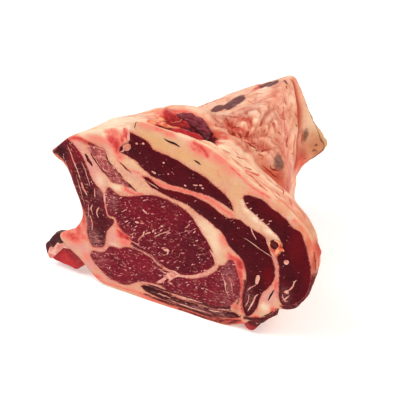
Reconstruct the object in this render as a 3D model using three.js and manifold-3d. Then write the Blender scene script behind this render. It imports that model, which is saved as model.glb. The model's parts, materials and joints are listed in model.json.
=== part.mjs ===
// A beef loin joint, standing on its underside with a sawn face turned to -Y.
// X runs to the right along the sawn face, Y into the joint, and Z up from the floor at 0.
// Every muscle is a solid of its own that runs from the front face to the rear face,
// and the fat round the muscles is one solid with a channel for each of them.
import * as THREE from 'three';
import Module from 'manifold-3d';

const wasm = await Module();
wasm.setup();

// Driving dimensions, in mm.
const frontY = -100; // plane of the front face
const rearY = 85; // plane of the rear face
const gap = 0.4; // clearance between a muscle and the fat round it
const thinnestCover = 5; // of fat between a muscle and the outside
const muscleStep = 10; // spacing of the corners along a muscle's edge
const nearbyDirections = [-12, -6, 0, 6, 12]; // degrees over which the muscles' narrowing is evened out
const channelOverrun = 3; // how far a channel's cutter runs past both faces
const frontCentre = [-20, 100]; // x and z that the front outline is measured from
const rearCentre = [-40, 85]; // the same for the rear outline

// Where the joint narrows from the front outline (0) to the rear outline (1).
const taperDepths = [-100, -75, -55, -38, -20, 10, 45, 85];
const taperShares = [0, 0.05, 0.16, 0.46, 0.62, 0.76, 0.9, 1];

// Features of the outside. Directions and spreads are in degrees round the section, from +X.
const webThickness = 16; // the flap of fat at the lower left of the front face
const shoulder = { direction: 32, spread: 36, drop: 13, fullY: -45, fadeY: -30, goneY: 20 };
const crease = { direction: 36, spread: 38, depth: 22, y: -28, width: 12, fade: 62, gone: 84 };
const pocket = { direction: 86, spread: 16, depth: 32, fullY: -91, y: -70, width: 22, slant: 0.5 };
const ridge = { direction: 102, spread: 20, height: 15, y: -36, width: 24 }; // left of the pocket
const rim = { direction: 86, spread: 16, height: 9, y: -20, width: 16 }; // behind the pocket
const rearFlap = { direction: 16, above: 17, below: 7, reach: 29, startY: 62, fullY: 78 };
const swells = { height: 3, startY: -90, fullY: -60, longWave: 31, shortWave: 19 };
const floorSide = { direction: -95, spread: 45 };

// Depths of the corners of the outside, closer together at the crease, the pocket and the flap.
const outsideDepths = [-100, -94, -84, -76, -68, -60, -52, -44, -38, -33, -28, -23, -17, -9,
  5, 18, 32, 45, 56, 63, 69, 76, 85];
const muscleDepths = [-100, -84, -60, -38, -26, 5, 45, 85];

// The front outline as x and z, anticlockwise from the right.
const rightAndTop = [
  [137, 97], [136, 113], [131, 128], [122, 142], [108, 155], [90, 165], [68, 175], [48, 187],
  [28, 198], [8, 204], [-12, 208], [-35, 209], [-52, 208],
];
const leftSide = [
  [-66, 200], [-82, 192], [-100, 184], [-118, 177], [-133, 168], [-143, 157], [-151, 147],
  [-144, 141], [-137, 138], [-131, 127], [-127, 112], [-122, 94], [-121, 80], [-127, 67],
  [-135, 58], [-147, 52], [-150, 45], [-145, 38], [-133, 28], [-123, 20], [-116, 10],
];
const underside = [
  [-106, 2], [-90, -1], [-60, -2], [-35, -2], [-10, -2], [20, -2], [42, 0], [62, 9], [80, 16],
  [90, 25], [98, 34], [101, 41], [112, 44], [121, 53], [129, 66], [134, 81],
];
// The left side again, a web's thickness behind the front face, where it has no points.
const leftBehindWeb = [
  [-66, 198], [-84, 187], [-102, 176], [-117, 162], [-126, 145], [-128, 125], [-126, 105],
  [-122, 88], [-120, 70], [-119, 50], [-118, 30], [-114, 12],
];
const rearOutline = [
  [34, 85], [37, 120], [38, 150], [36, 175], [27, 190], [2, 179], [-29, 161], [-70, 136],
  [-100, 116], [-116, 92], [-118, 60], [-114, 25], [-103, 3], [-80, -2], [-40, -2], [10, -2],
  [30, 1], [36, 14], [30, 42],
];

// The muscles on the front face. Both edges run from the first end to the last end.
const muscles = [
  {
    name: 'upper_band',
    colour: 0x561722,
    ends: [[-75, 168], [49, 137]],
    lowEdge: [[-62, 165], [-50, 157], [-38, 151], [-20, 148], [5, 147], [25, 147], [38, 143]],
    highEdge: [[-71, 180], [-62, 193], [-48, 191], [-36, 183], [-10, 177], [12, 170], [32, 159], [44, 150]],
  },
  {
    name: 'middle_band',
    colour: 0x561722,
    ends: [[-48, 148], [65, 20]],
    lowEdge: [[-38, 138], [-20, 134], [0, 129], [16, 121], [30, 114], [41, 106], [46, 97], [56, 88],
      [62, 80], [64, 68], [62, 52], [61, 36]],
    highEdge: [[-25, 142], [0, 142], [20, 139], [34, 133], [44, 128], [52, 131], [64, 128], [76, 122],
      [85, 117], [88, 105], [93, 88], [90, 66], [79, 43], [72, 29]],
  },
  {
    name: 'outer_muscle',
    colour: 0x4a1420,
    ends: [[59, 155], [104, 47]],
    lowEdge: [[62, 148], [72, 140], [84, 132], [95, 126], [100, 119], [98, 108], [97, 95], [99, 82],
      [98, 68], [99, 55]],
    highEdge: [[64, 160], [76, 160], [90, 155], [104, 146], [112, 137], [120, 136], [124, 125],
      [129, 107], [131, 92], [130, 78], [126, 66], [119, 56], [112, 49]],
  },
  {
    name: 'eye_muscle',
    colour: 0x742030,
    ends: [[-92, 105], [29, 71]],
    lowEdge: [[-91, 90], [-82, 86], [-76, 77], [-67, 70], [-64, 62], [-50, 59], [-40, 55], [-30, 49],
      [-18, 46], [-6, 45], [6, 49], [16, 54], [24, 61]],
    highEdge: [[-90, 118], [-84, 122], [-76, 118], [-62, 122], [-48, 126], [-33, 130], [-18, 128],
      [-3, 123], [6, 112], [15, 101], [23, 91], [28, 80]],
  },
  {
    name: 'lower_muscle',
    colour: 0x802638,
    ends: [[-113, 33], [50, 72]],
    lowEdge: [[-108, 25], [-98, 16], [-88, 11], [-75, 10], [-62, 17], [-50, 21], [-36, 23], [-15, 20],
      [10, 21], [30, 21], [44, 25], [52, 33], [57, 44], [58, 55], [55, 65]],
    highEdge: [[-104, 41], [-95, 44], [-90, 52], [-80, 52], [-70, 57], [-55, 54], [-42, 48], [-30, 37],
      [-16, 35], [0, 38], [14, 44], [26, 52], [33, 64], [41, 76]],
  },
  {
    name: 'chine_muscle',
    colour: 0x5c1824,
    ends: [[-133, 164], [-108, 46]],
    lowEdge: [[-140, 155], [-137, 147], [-131, 138], [-126, 126], [-122, 110], [-117, 95], [-115, 80],
      [-113, 65]],
    highEdge: [[-124, 160], [-118, 152], [-113, 139], [-108, 127], [-103, 116], [-97, 107], [-95, 94],
      [-92, 82], [-95, 68], [-97, 55]],
  },
  {
    name: 'small_strip',
    colour: 0x7a2434,
    ends: [[-110, 163], [-53, 130]],
    lowEdge: [[-107, 154], [-100, 144], [-92, 138], [-83, 131], [-74, 130], [-64, 129]],
    highEdge: [[-100, 166], [-91, 163], [-88, 152], [-80, 146], [-72, 140], [-62, 134]],
  },
  {
    name: 'rib_layer',
    colour: 0x66202a,
    ends: [[-55, 15], [59, 16]],
    lowEdge: [[-48, 10], [-35, 8], [-10, 6], [15, 6], [35, 8], [50, 11]],
    highEdge: [[-45, 18], [-28, 18], [-10, 15], [10, 15], [30, 15], [46, 18]],
  },
];

// The stub at the lower left, a scrap of meat with a band of fat through it.
const stubFrontY = -96;
const stubRearY = -80;
const stubOutline = [
  [-118, 44], [-149, 50], [-159, 46], [-164, 38], [-167, 31], [-172, 26], [-172, 20], [-169, 13],
  [-165, 10], [-150, 8], [-135, 7], [-118, 12],
];
const stubBand = [[-108, 36], [-125, 38], [-140, 37], [-150, 33], [-159, 28], [-165, 20], [-168, 3]];
const stubBandWidth = 4.5;

// The scrap of meat under the front edge at the lower right.
const scrapFrontY = -99.5;
const scrapRearY = -78;
const scrapOutline = [[62, 12], [63, 6], [69, 2], [75, 4], [80, 9], [82, 17], [74, 19], [65, 16]];

// How a scrap narrows from its front to its rear: the share of its depth, the size of its section.
const lumpProfile = [[0, 1], [0.5, 1], [0.8, 0.86], [1, 0.5]];

const fatColour = 0xe6b791;
const stubColours = [0x4a1018, 0x9c2230];
const scrapColour = 0xb0242a;
const meatRoughness = 0.45;
const fatRoughness = 0.55;

// Rises smoothly from 0 to 1 between two values.
const rise = THREE.MathUtils.smoothstep;

// A bell of height 1 round a middle value.
const bell = (value, middle, width) => Math.exp(-(((value - middle) / width) ** 2));

// Reads a value off a line through points given as two lists.
function readLine(x, xs, ys) {
  const last = xs.length - 1;
  const i = Math.min(Math.max(xs.findIndex((edge) => edge > x) - 1, 0), last - 1);
  if (x >= xs[last]) return ys[last];
  return THREE.MathUtils.lerp(ys[i], ys[i + 1], (x - xs[i]) / (xs[i + 1] - xs[i]));
}

// A closed smooth curve through the points, with the same number of steps between each two.
function smoothLoop(points, stepsBetween) {
  const corners = points.map(([x, z]) => new THREE.Vector3(x, z, 0));
  const curve = new THREE.CatmullRomCurve3(corners, true, 'catmullrom', 0.5);
  return curve.getPoints(points.length * stepsBetween).slice(0, -1).map((p) => new THREE.Vector2(p.x, p.y));
}

// Turns an outline into a function that gives its distance from the centre in any direction.
function distanceFrom(centre, points) {
  const samples = smoothLoop(points, 24)
    .map((p) => p.sub(new THREE.Vector2(...centre)))
    .map((p) => ({ angle: p.angle(), radius: p.length() }))
    .sort((a, b) => a.angle - b.angle);
  const first = samples[0];
  const last = samples[samples.length - 1];
  samples.unshift({ angle: last.angle - 2 * Math.PI, radius: last.radius });
  samples.push({ angle: first.angle + 2 * Math.PI, radius: first.radius });
  const angles = samples.map((s) => s.angle);
  const radii = samples.map((s) => s.radius);
  return (angle) => readLine(angle, angles, radii);
}

const frontRadius = distanceFrom(frontCentre, [...rightAndTop, ...leftSide, ...underside]);
const behindRadius = distanceFrom(frontCentre, [...rightAndTop, ...leftBehindWeb, ...underside]);
const rearRadius = distanceFrom(rearCentre, rearOutline);
const narrowing = (y) => readLine(y, taperDepths, taperShares);

// The middle of the section at depth y.
function centreAt(y) {
  const share = narrowing(y);
  return new THREE.Vector2(...frontCentre).lerp(new THREE.Vector2(...rearCentre), share);
}

// How far the outside is from the middle of its section, without the rear flap.
function bodyRadius(angle, y) {
  const share = narrowing(y);
  const degrees = THREE.MathUtils.radToDeg(angle > Math.PI ? angle - 2 * Math.PI : angle);
  const behindWeb = THREE.MathUtils.clamp((y - frontY) / webThickness, 0, 1);
  const front = THREE.MathUtils.lerp(frontRadius(angle), behindRadius(angle), behindWeb);
  let radius = THREE.MathUtils.lerp(front, rearRadius(angle), share);
  const shoulderShare = rise(y, frontY, shoulder.fullY) * (1 - rise(y, shoulder.fadeY, shoulder.goneY));
  radius -= shoulder.drop * bell(degrees, shoulder.direction, shoulder.spread) * shoulderShare;
  radius += ridge.height * bell(degrees, ridge.direction, ridge.spread) * bell(y, ridge.y, ridge.width);
  radius += rim.height * bell(degrees, rim.direction, rim.spread) * bell(y, rim.y, rim.width);
  const creaseShare = bell(degrees, crease.direction, crease.spread) * bell(y, crease.y, crease.width);
  radius -= crease.depth * creaseShare * (1 - rise(degrees, crease.fade, crease.gone));
  const pocketMiddle = pocket.y + pocket.slant * (degrees - pocket.direction);
  const pocketBack = bell(Math.max(y, pocketMiddle), pocketMiddle, pocket.width);
  const pocketShare = rise(y, frontY, pocket.fullY) * pocketBack;
  radius -= pocket.depth * bell(degrees, pocket.direction, pocket.spread) * pocketShare;
  const swell = Math.sin(3 * angle + y / swells.shortWave) * Math.sin(2 * angle - y / swells.longWave);
  const awayFromFloor = 1 - bell(degrees, floorSide.direction, floorSide.spread);
  radius += swells.height * swell * awayFromFloor * rise(y, swells.startY, swells.fullY);
  return radius;
}

// A point of the outside, grown by a margin and stood on the floor.
function outsidePoint(angle, y, margin) {
  const degrees = THREE.MathUtils.radToDeg(angle);
  const flapSpread = degrees > rearFlap.direction ? rearFlap.above : rearFlap.below;
  const flapShare = bell(degrees, rearFlap.direction, flapSpread);
  const flap = rearFlap.reach * flapShare * rise(y, rearFlap.startY, rearFlap.fullY);
  const radius = bodyRadius(angle, y) + flap + margin;
  const centre = centreAt(y);
  const x = centre.x + radius * Math.cos(angle);
  return new THREE.Vector3(x, y, Math.max(centre.y + radius * Math.sin(angle), 0));
}

// How much smaller the joint is at depth y than at the front, evened out over nearby directions.
function shrinkage(angle, y) {
  const ratios = nearbyDirections.map((degrees) => {
    const direction = (angle + THREE.MathUtils.degToRad(degrees) + 2 * Math.PI) % (2 * Math.PI);
    return bodyRadius(direction, y) / bodyRadius(direction, frontY);
  });
  return ratios.reduce((sum, ratio) => sum + ratio, 0) / ratios.length;
}

// Carries a point of the front face to depth y, as the joint narrows round it, and keeps a cover
// of fat outside it.
function carry(point, y) {
  const fromCentre = point.clone().sub(new THREE.Vector2(...frontCentre));
  fromCentre.multiplyScalar(shrinkage(fromCentre.angle(), y));
  const limit = bodyRadius(fromCentre.angle(), y) - thinnestCover;
  return centreAt(y).add(fromCentre.clampLength(0, limit));
}

// A closed solid from a row of rings of equal count. The rings are flat, run anticlockwise seen
// from -Y and follow each other in +Y. Each end is closed by a fan from the point given for it,
// or cut into triangles between its own corners where none is given.
function loft(rings, endPoints) {
  const count = rings[0].length;
  const vertices = rings.flat();
  const triangles = [];
  for (let j = 0; j + 1 < rings.length; j += 1) {
    for (let i = 0; i < count; i += 1) {
      const a = j * count + i;
      const b = j * count + ((i + 1) % count);
      triangles.push(a, a + count, b + count, a, b + count, b);
    }
  }
  const ends = [rings[0], rings[rings.length - 1]];
  ends.forEach((ring, end) => {
    const start = end * (rings.length - 1) * count;
    let faces;
    if (endPoints) {
      vertices.push(endPoints[end]);
      faces = ring.map((_, i) => [i, (i + 1) % count, vertices.length - 1 - start]);
    } else {
      faces = THREE.ShapeUtils.triangulateShape(ring.map((p) => new THREE.Vector2(p.x, p.z)), []);
    }
    faces.forEach((face) => {
      const corners = face.map((i) => i + start);
      triangles.push(...(end ? corners.reverse() : corners));
    });
  });
  const mesh = new wasm.Mesh({
    numProp: 3,
    vertProperties: new Float32Array(vertices.flatMap((p) => p.toArray())),
    triVerts: new Uint32Array(triangles),
  });
  return new wasm.Manifold(mesh);
}

// The joint's whole form, without the channels.
function makeOutside(margin) {
  const outline = smoothLoop([...rightAndTop, ...leftSide, ...underside], 2);
  const angles = outline.map((p) => p.sub(new THREE.Vector2(...frontCentre)).angle());
  const rings = outsideDepths.map((y) => angles.map((angle) => outsidePoint(angle, y, margin)));
  const endPoints = [frontY, rearY].map((y) => new THREE.Vector3(centreAt(y).x, y, centreAt(y).y));
  return loft(rings, endPoints);
}

// A muscle's closed edge on the front face, from its two smooth edges.
function muscleEdge({ ends, lowEdge, highEdge }) {
  const spaced = (points) => {
    const curve = new THREE.SplineCurve(points.map(([x, z]) => new THREE.Vector2(x, z)));
    return curve.getSpacedPoints(Math.round(curve.getLength() / muscleStep)).slice(0, -1);
  };
  const there = spaced([ends[0], ...lowEdge, ends[1]]);
  const back = spaced([ends[1], ...highEdge.toReversed(), ends[0]]);
  return [...there, ...back];
}

// Moves a flat ring's corners outwards, so that its sides move by the margin.
function growRing(ring, margin) {
  const sharpest = 0.4; // keeps the corner of a pointed tip from running far out
  return ring.map((point, i) => {
    const before = ring[(i + ring.length - 1) % ring.length];
    const after = ring[(i + 1) % ring.length];
    const along = point.clone().sub(before).normalize();
    const turn = after.clone().sub(point).normalize();
    const outward = new THREE.Vector2(along.y + turn.y, -along.x - turn.x).normalize();
    const side = Math.max(outward.dot(new THREE.Vector2(along.y, -along.x)), sharpest);
    return point.clone().addScaledVector(outward, margin / side);
  });
}

// A muscle from face to face, or, with a margin, the cutter of its channel.
function makeMuscle(muscle, margin) {
  const edge = muscleEdge(muscle);
  const rings = muscleDepths.map((y) => {
    const ring = growRing(edge.map((point) => carry(point, y)), margin);
    return ring.map((p) => new THREE.Vector3(p.x, y, p.y));
  });
  if (margin > 0) {
    const moved = (ring, distance) => ring.map((p) => p.clone().setY(p.y + distance));
    rings.unshift(moved(rings[0], -channelOverrun));
    rings.push(moved(rings[rings.length - 1], channelOverrun));
  }
  return loft(rings);
}

// A lump with a flat front and a rounded rear, from an outline.
function makeLump(outline, front, rear) {
  const ring = smoothLoop(outline, 2);
  const middle = ring.reduce((sum, p) => sum.add(p), new THREE.Vector2()).divideScalar(ring.length);
  const rings = lumpProfile.map(([share, size]) => ring.map((p) => {
    const point = middle.clone().lerp(p, size);
    return new THREE.Vector3(point.x, THREE.MathUtils.lerp(front, rear, share), point.y);
  }));
  return loft(rings);
}

// The band of fat through the stub, as a curved slab that is longer than the stub is deep.
function makeBand(width) {
  const path = new THREE.SplineCurve(stubBand.map(([x, z]) => new THREE.Vector2(x, z))).getPoints(20);
  const shifted = (distance) => path.map((point, i) => {
    const along = path[Math.min(i + 1, path.length - 1)].clone().sub(path[Math.max(i - 1, 0)]).normalize();
    return point.clone().add(new THREE.Vector2(along.y, -along.x).multiplyScalar(distance));
  });
  const ring = [...shifted(width / 2), ...shifted(-width / 2).reverse()];
  const depths = [stubFrontY - channelOverrun, stubRearY + channelOverrun];
  return loft(depths.map((y) => ring.map((p) => new THREE.Vector3(p.x, y, p.y))));
}

const largest = (solid) => solid.decompose().sort((a, b) => b.volume() - a.volume())[0];

// Turns a solid into a named mesh.
function toMesh(name, solid, colour, roughness) {
  const { vertProperties, triVerts } = solid.getMesh();
  const geometry = new THREE.BufferGeometry();
  geometry.setAttribute('position', new THREE.BufferAttribute(vertProperties, 3));
  geometry.setIndex(new THREE.BufferAttribute(triVerts, 1));
  geometry.computeVertexNormals();
  const mesh = new THREE.Mesh(geometry, new THREE.MeshStandardMaterial({ color: colour, roughness }));
  mesh.name = name;
  return mesh;
}

function makeFatBody() {
  const channels = muscles.map((muscle) => makeMuscle(muscle, gap));
  const fat = channels.reduce((solid, channel) => solid.subtract(channel), makeOutside(0));
  return toMesh('fat_body', largest(fat), fatColour, fatRoughness);
}

// The stub's two scraps of meat and the fat between them, cut off where they meet the joint.
function makeStub() {
  const lump = makeLump(stubOutline, stubFrontY, stubRearY).subtract(makeOutside(gap));
  const scraps = lump.subtract(makeBand(stubBandWidth + 2 * gap)).decompose()
    .sort((a, b) => b.volume() - a.volume()).slice(0, 2)
    .sort((a, b) => b.boundingBox().max[2] - a.boundingBox().max[2]);
  return [
    toMesh('stub_upper', scraps[0], stubColours[0], meatRoughness),
    toMesh('stub_lower', scraps[1], stubColours[1], meatRoughness),
    toMesh('stub_fat', largest(lump.intersect(makeBand(stubBandWidth))), fatColour, fatRoughness),
  ];
}

function makeScrap() {
  const scrap = makeLump(scrapOutline, scrapFrontY, scrapRearY).subtract(makeOutside(gap));
  return toMesh('lower_scrap', largest(scrap), scrapColour, meatRoughness);
}

const loin = new THREE.Group();
loin.add(makeFatBody());
muscles.forEach((muscle) => {
  loin.add(toMesh(muscle.name, makeMuscle(muscle, 0), muscle.colour, meatRoughness));
});
loin.add(...makeStub(), makeScrap());

export default loin;
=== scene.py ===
import json
import math
import bmesh
import bpy
import numpy as np
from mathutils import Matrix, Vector

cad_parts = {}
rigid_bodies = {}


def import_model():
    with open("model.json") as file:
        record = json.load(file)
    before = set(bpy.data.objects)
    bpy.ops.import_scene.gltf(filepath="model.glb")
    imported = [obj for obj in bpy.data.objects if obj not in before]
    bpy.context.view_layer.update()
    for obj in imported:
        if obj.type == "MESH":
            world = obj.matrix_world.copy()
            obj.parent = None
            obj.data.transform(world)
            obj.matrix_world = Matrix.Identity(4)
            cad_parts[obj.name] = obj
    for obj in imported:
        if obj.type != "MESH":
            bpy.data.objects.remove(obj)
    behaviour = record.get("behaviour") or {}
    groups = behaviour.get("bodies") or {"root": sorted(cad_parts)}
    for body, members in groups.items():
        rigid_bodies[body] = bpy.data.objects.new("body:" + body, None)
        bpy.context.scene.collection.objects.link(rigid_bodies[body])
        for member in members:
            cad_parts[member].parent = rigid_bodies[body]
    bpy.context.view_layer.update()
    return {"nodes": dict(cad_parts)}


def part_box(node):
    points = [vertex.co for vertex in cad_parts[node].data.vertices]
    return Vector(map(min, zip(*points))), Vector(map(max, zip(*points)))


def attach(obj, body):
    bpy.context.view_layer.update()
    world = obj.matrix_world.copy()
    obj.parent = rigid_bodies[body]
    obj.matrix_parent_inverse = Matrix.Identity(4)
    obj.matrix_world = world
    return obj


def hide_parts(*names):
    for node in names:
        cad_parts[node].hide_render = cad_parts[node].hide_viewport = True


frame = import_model()
print("frame loaded:", len(frame["nodes"]), "nodes")

# Shapes are worked out in millimetres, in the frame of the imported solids, and become metres in makePiece.
# The sawn face looks along -Y, X runs to the right along it and Z is up from the floor.
metresPerMm = 0.001
fatLow, fatHigh = (np.array(corner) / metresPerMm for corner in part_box("fat_body"))
frontY = float(round(fatLow[1]))
rearY = float(round(fatHigh[1]))

# The outside of the joint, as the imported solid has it. Outlines are x and z, anticlockwise from the right.
# Directions and spreads are degrees round the section, from +X.
outside = {
    "frontCentre": (-20, 100), "rearCentre": (-40, 85),
    "rightAndTop": [
        (136.5, 97), (135, 113), (130.5, 128), (122, 142), (108, 155), (90, 165), (68, 175), (48, 187),
        (28, 198), (8, 204), (-12, 208), (-35, 209), (-52, 208)],
    "leftSide": [
        (-66, 200), (-82, 193), (-100, 186.5), (-118, 179), (-133, 169), (-144.5, 157), (-153.5, 147.5),
        (-148, 141), (-141, 137.5), (-133.5, 127), (-128.5, 112), (-122.5, 94), (-121, 80), (-127, 67),
        (-135, 58), (-147, 52), (-150, 45), (-145, 38), (-133, 30), (-124, 23), (-116, 14)],
    "underside": [
        (-105, 5), (-90, 2), (-60, 0), (-35, -2), (-10, -2), (20, -2), (42, 0), (62, 9), (80, 16), (90, 25),
        (98, 34), (101, 41), (112, 44), (121, 53), (128.5, 66), (133, 81)],
    "leftBehindWeb": [
        (-66, 200), (-84, 194), (-103, 186), (-118, 172), (-128, 149), (-128, 125), (-126, 105), (-122, 88),
        (-120, 70), (-119, 50), (-118, 30), (-114, 12)],
    "rearOutline": [
        (34, 85), (37, 120), (38, 150), (33, 175), (24, 189), (2, 179), (-29, 161), (-70, 136), (-100, 116),
        (-116, 92), (-118, 60), (-114, 25), (-103, 3), (-80, -2), (-40, -2), (10, -2), (30, 1), (36, 14),
        (30, 42)],
    "taperDepths": [-100, -75, -55, -38, -20, 10, 45, 85],
    "taperShares": [0, 0.05, 0.16, 0.46, 0.62, 0.76, 0.9, 1], "webThickness": 16,
    "shoulder": {"direction": 32, "spread": 36, "drop": 13, "fullY": -45, "fadeY": -30, "goneY": 20},
    "crease": {"direction": 36, "spread": 38, "depth": 22, "y": -28, "width": 12, "fade": 62, "gone": 84},
    "pocket": {
        "direction": 86, "spread": 16, "depth": 32, "fullY": -91, "y": -70, "width": 22, "slant": 0.5,
    },
    "pocketEnd": {"direction": 77, "spread": 7, "share": 0.42, "y": -55, "width": 14, "shift": 0.45},
    "ridge": {"direction": 102, "spread": 20, "height": 15, "y": -36, "width": 24},
    "rim": {"direction": 86, "spread": 16, "height": 9, "y": -20, "width": 16},
    "rearFlap": {
        "direction": 17.5, "above": 18, "below": 8, "reach": 28, "ragged": 0.07, "startY": 62, "fullY": 78,
    },
    "nub": {"direction": 6, "spread": 2.6, "height": 5.5, "y": -92, "width": 7},
    "swells": {"height": 3, "startY": -90, "fullY": -60, "longWave": 31, "shortWave": 19},
    "floorSide": {"direction": -95, "spread": 45}, "thinnestCover": 5,
}


def rise(value, start, end):  # s-curve from 0 to 1: t squared times (3 - 2t)
    t = np.clip((value - start) / (end - start), 0, 1)
    return t * t * (3 - 2 * t)


def bell(value, middle, width):  # exp of minus the squared distance in widths
    return np.exp(-((value - middle) / width) ** 2)


def lumps(points, size, seed):
    # Value noise from -1 to 1: a hashed height at each corner of a cubic lattice, blended with s-curves.
    scaled = np.asarray(points, float) / size + 31.7 * seed
    cell = np.floor(scaled).astype(np.int64)
    part = scaled - cell
    part = part * part * (3 - 2 * part)
    total = np.zeros(scaled.shape[:-1])
    for corner in np.ndindex(2, 2, 2):
        key = (cell + np.array(corner)) @ np.array([73856093, 19349663, 83492791])
        key = (key ^ (key >> 13)) * 1274126177
        key = ((key ^ (key >> 16)) & 0xFFFFFF) / 0x7FFFFF - 1
        total += key * np.prod(np.where(corner, part, 1 - part), axis=-1)
    return total


def stray(points, reach, size, seed):  # a small move in each direction, from three value noises
    return reach * np.stack([lumps(points, size, seed + k) for k in range(3)], axis=-1)


def blendCurve(before, start, end, after, t):  # Catmull-Rom cubic between start and end
    return 0.5 * (2 * start + (end - before) * t + (2 * before - 5 * start + 4 * end - after) * t ** 2
                  + (3 * start - before - 3 * end + after) * t ** 3)


def evenly(path, count, closed, weight=1):
    # Picks points at equal steps of length along a dense path, closer together where the weight is larger.
    dense = np.vstack([path, path[:1]]) if closed else path
    length = np.append(0, np.cumsum(np.linalg.norm(np.diff(dense, axis=0), axis=1) * weight))
    at = np.linspace(0, length[-1], count + 1)[:-1] if closed else np.linspace(0, length[-1], count)
    return np.stack([np.interp(at, length, dense[:, axis]) for axis in range(dense.shape[1])], axis=1)


def closedCurve(points, stepsBetween):
    # A closed smooth curve through the points, with the same steps of the cubic between each two.
    p = np.asarray(points, float)[:, None]
    t = (np.arange(stepsBetween) / stepsBetween)[None, :, None]
    curve = blendCurve(np.roll(p, 1, 0), p, np.roll(p, -1, 0), np.roll(p, -2, 0), t)
    return curve.reshape(-1, p.shape[-1])


def openCurve(points, count):
    # A smooth curve from the first point to the last, at equal steps of length.
    p = np.asarray(points, float)
    p = np.vstack([p[:1], p, p[-1:]])[:, None]
    t = np.linspace(0, 1, 13)[None, :-1, None]
    curve = blendCurve(p[:-3], p[1:-2], p[2:-1], p[3:], t).reshape(-1, p.shape[-1])
    return evenly(np.vstack([curve, p[-1]]), count, closed=False)


def closeCurve(points):  # a smooth curve with a point about every 1.2 of its units
    length = np.linalg.norm(np.diff(np.asarray(points, float), axis=0), axis=1).sum()
    return openCurve(points, max(8, int(length / 1.2)))


def distanceFrom(centre, points):
    # Turns an outline into a function that gives its distance from the centre in any direction.
    offset = closedCurve(points, 24) - np.array(centre)
    angle = np.arctan2(offset[:, 1], offset[:, 0])
    order = np.argsort(angle)
    radius = np.hypot(offset[:, 0], offset[:, 1])
    return lambda direction: np.interp(direction, angle[order], radius[order], period=2 * math.pi)


frontOutline = outside["rightAndTop"] + outside["leftSide"] + outside["underside"]
frontRadius = distanceFrom(outside["frontCentre"], frontOutline)
behindRadius = distanceFrom(outside["frontCentre"],
                            outside["rightAndTop"] + outside["leftBehindWeb"] + outside["underside"])
rearRadius = distanceFrom(outside["rearCentre"], outside["rearOutline"])


def narrowing(y):  # 0 at the front outline, 1 at the rear outline
    return np.interp(y, outside["taperDepths"], outside["taperShares"])


def centreAt(y):  # middle of the section at depth y
    share = narrowing(y)[..., None]
    return (1 - share) * np.array(outside["frontCentre"]) + share * np.array(outside["rearCentre"])


def around(degrees, feature):  # share of a feature in a direction
    return bell(degrees, feature["direction"], feature["spread"])


def bodyRadius(angle, y):
    # Distance of the outside from the middle of its section: the front outline blended into the rear one,
    # less a shoulder, a crease and a pocket, plus a ridge, a rim and slow swells, each a product of bells.
    angle, y = np.broadcast_arrays(angle, np.asarray(y, float))
    degrees = np.degrees(np.angle(np.exp(1j * angle)))
    share = narrowing(y)
    behindWeb = np.clip((y - frontY) / outside["webThickness"], 0, 1)
    front = (1 - behindWeb) * frontRadius(angle) + behindWeb * behindRadius(angle)
    radius = (1 - share) * front + share * rearRadius(angle)
    shoulder = outside["shoulder"]
    falling = rise(y, frontY, shoulder["fullY"]) * (1 - rise(y, shoulder["fadeY"], shoulder["goneY"]))
    radius -= shoulder["drop"] * around(degrees, shoulder) * falling
    for feature in (outside["ridge"], outside["rim"]):
        radius += feature["height"] * around(degrees, feature) * bell(y, feature["y"], feature["width"])
    crease = outside["crease"]
    creaseShare = around(degrees, crease) * bell(y, crease["y"], crease["width"])
    radius -= crease["depth"] * creaseShare * (1 - rise(degrees, crease["fade"], crease["gone"]))
    radius -= outside["pocket"]["depth"] * pocketShare(angle, y)
    swells = outside["swells"]
    swell = np.sin(3 * angle + y / swells["shortWave"]) * np.sin(2 * angle - y / swells["longWave"])
    radius += swells["height"] * swell * (1 - around(degrees, outside["floorSide"])) \
        * rise(y, swells["startY"], swells["fullY"])
    return radius


def pocketShare(angle, y):  # 0 outside the pocket, 1 where it is deepest
    pocket, end = outside["pocket"], outside["pocketEnd"]
    degrees = np.degrees(np.angle(np.exp(1j * angle)))
    middle = pocket["y"] + pocket["slant"] * (degrees - pocket["direction"])
    wall = end["shift"] * np.clip(pocket["direction"] - degrees, 0, 20)  # its right end starts further back
    share = around(degrees, pocket) * bell(np.maximum(y, middle), middle, pocket["width"])
    share = share * rise(y, frontY + wall, pocket["fullY"] + wall)
    return share + end["share"] * around(degrees, end) * bell(y, end["y"], end["width"])


def flapReach(angle, y):  # how far the flap of fat at the rear stands out, sharper at its tip than the solid
    flap = outside["rearFlap"]
    degrees = np.degrees(np.angle(np.exp(1j * angle)))
    spread = np.where(degrees > flap["direction"], flap["above"], flap["below"])
    share = np.exp(-np.abs((degrees - flap["direction"]) / spread) ** 1.5)
    torn = 1 + flap["ragged"] * lumps(np.stack([degrees, y + 0 * degrees, 0 * degrees], axis=-1), 1.6, 33)
    return flap["reach"] * share * torn * rise(y, flap["startY"], flap["fullY"])


def carry(points, y):
    # Takes points of the front face to depth y: their distance from the middle shrinks as the outside
    # does, averaged over nearby directions, and stays a cover of fat inside the outside.
    offset = points - np.array(outside["frontCentre"])
    angle = np.arctan2(offset[..., 1], offset[..., 0])
    turns = np.radians([-12, -6, 0, 6, 12])[:, None]
    flat = angle.reshape(1, -1) + turns
    shrink = (bodyRadius(flat, y) / bodyRadius(flat, frontY)).mean(axis=0).reshape(angle.shape)
    distance = np.linalg.norm(offset, axis=-1) * shrink
    limit = bodyRadius(angle, y) - outside["thinnestCover"]
    distance = np.minimum(distance, limit)
    direction = np.stack([np.cos(angle), np.sin(angle)], axis=-1)
    return centreAt(np.full(angle.shape, float(y))) + direction * distance[..., None]


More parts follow.
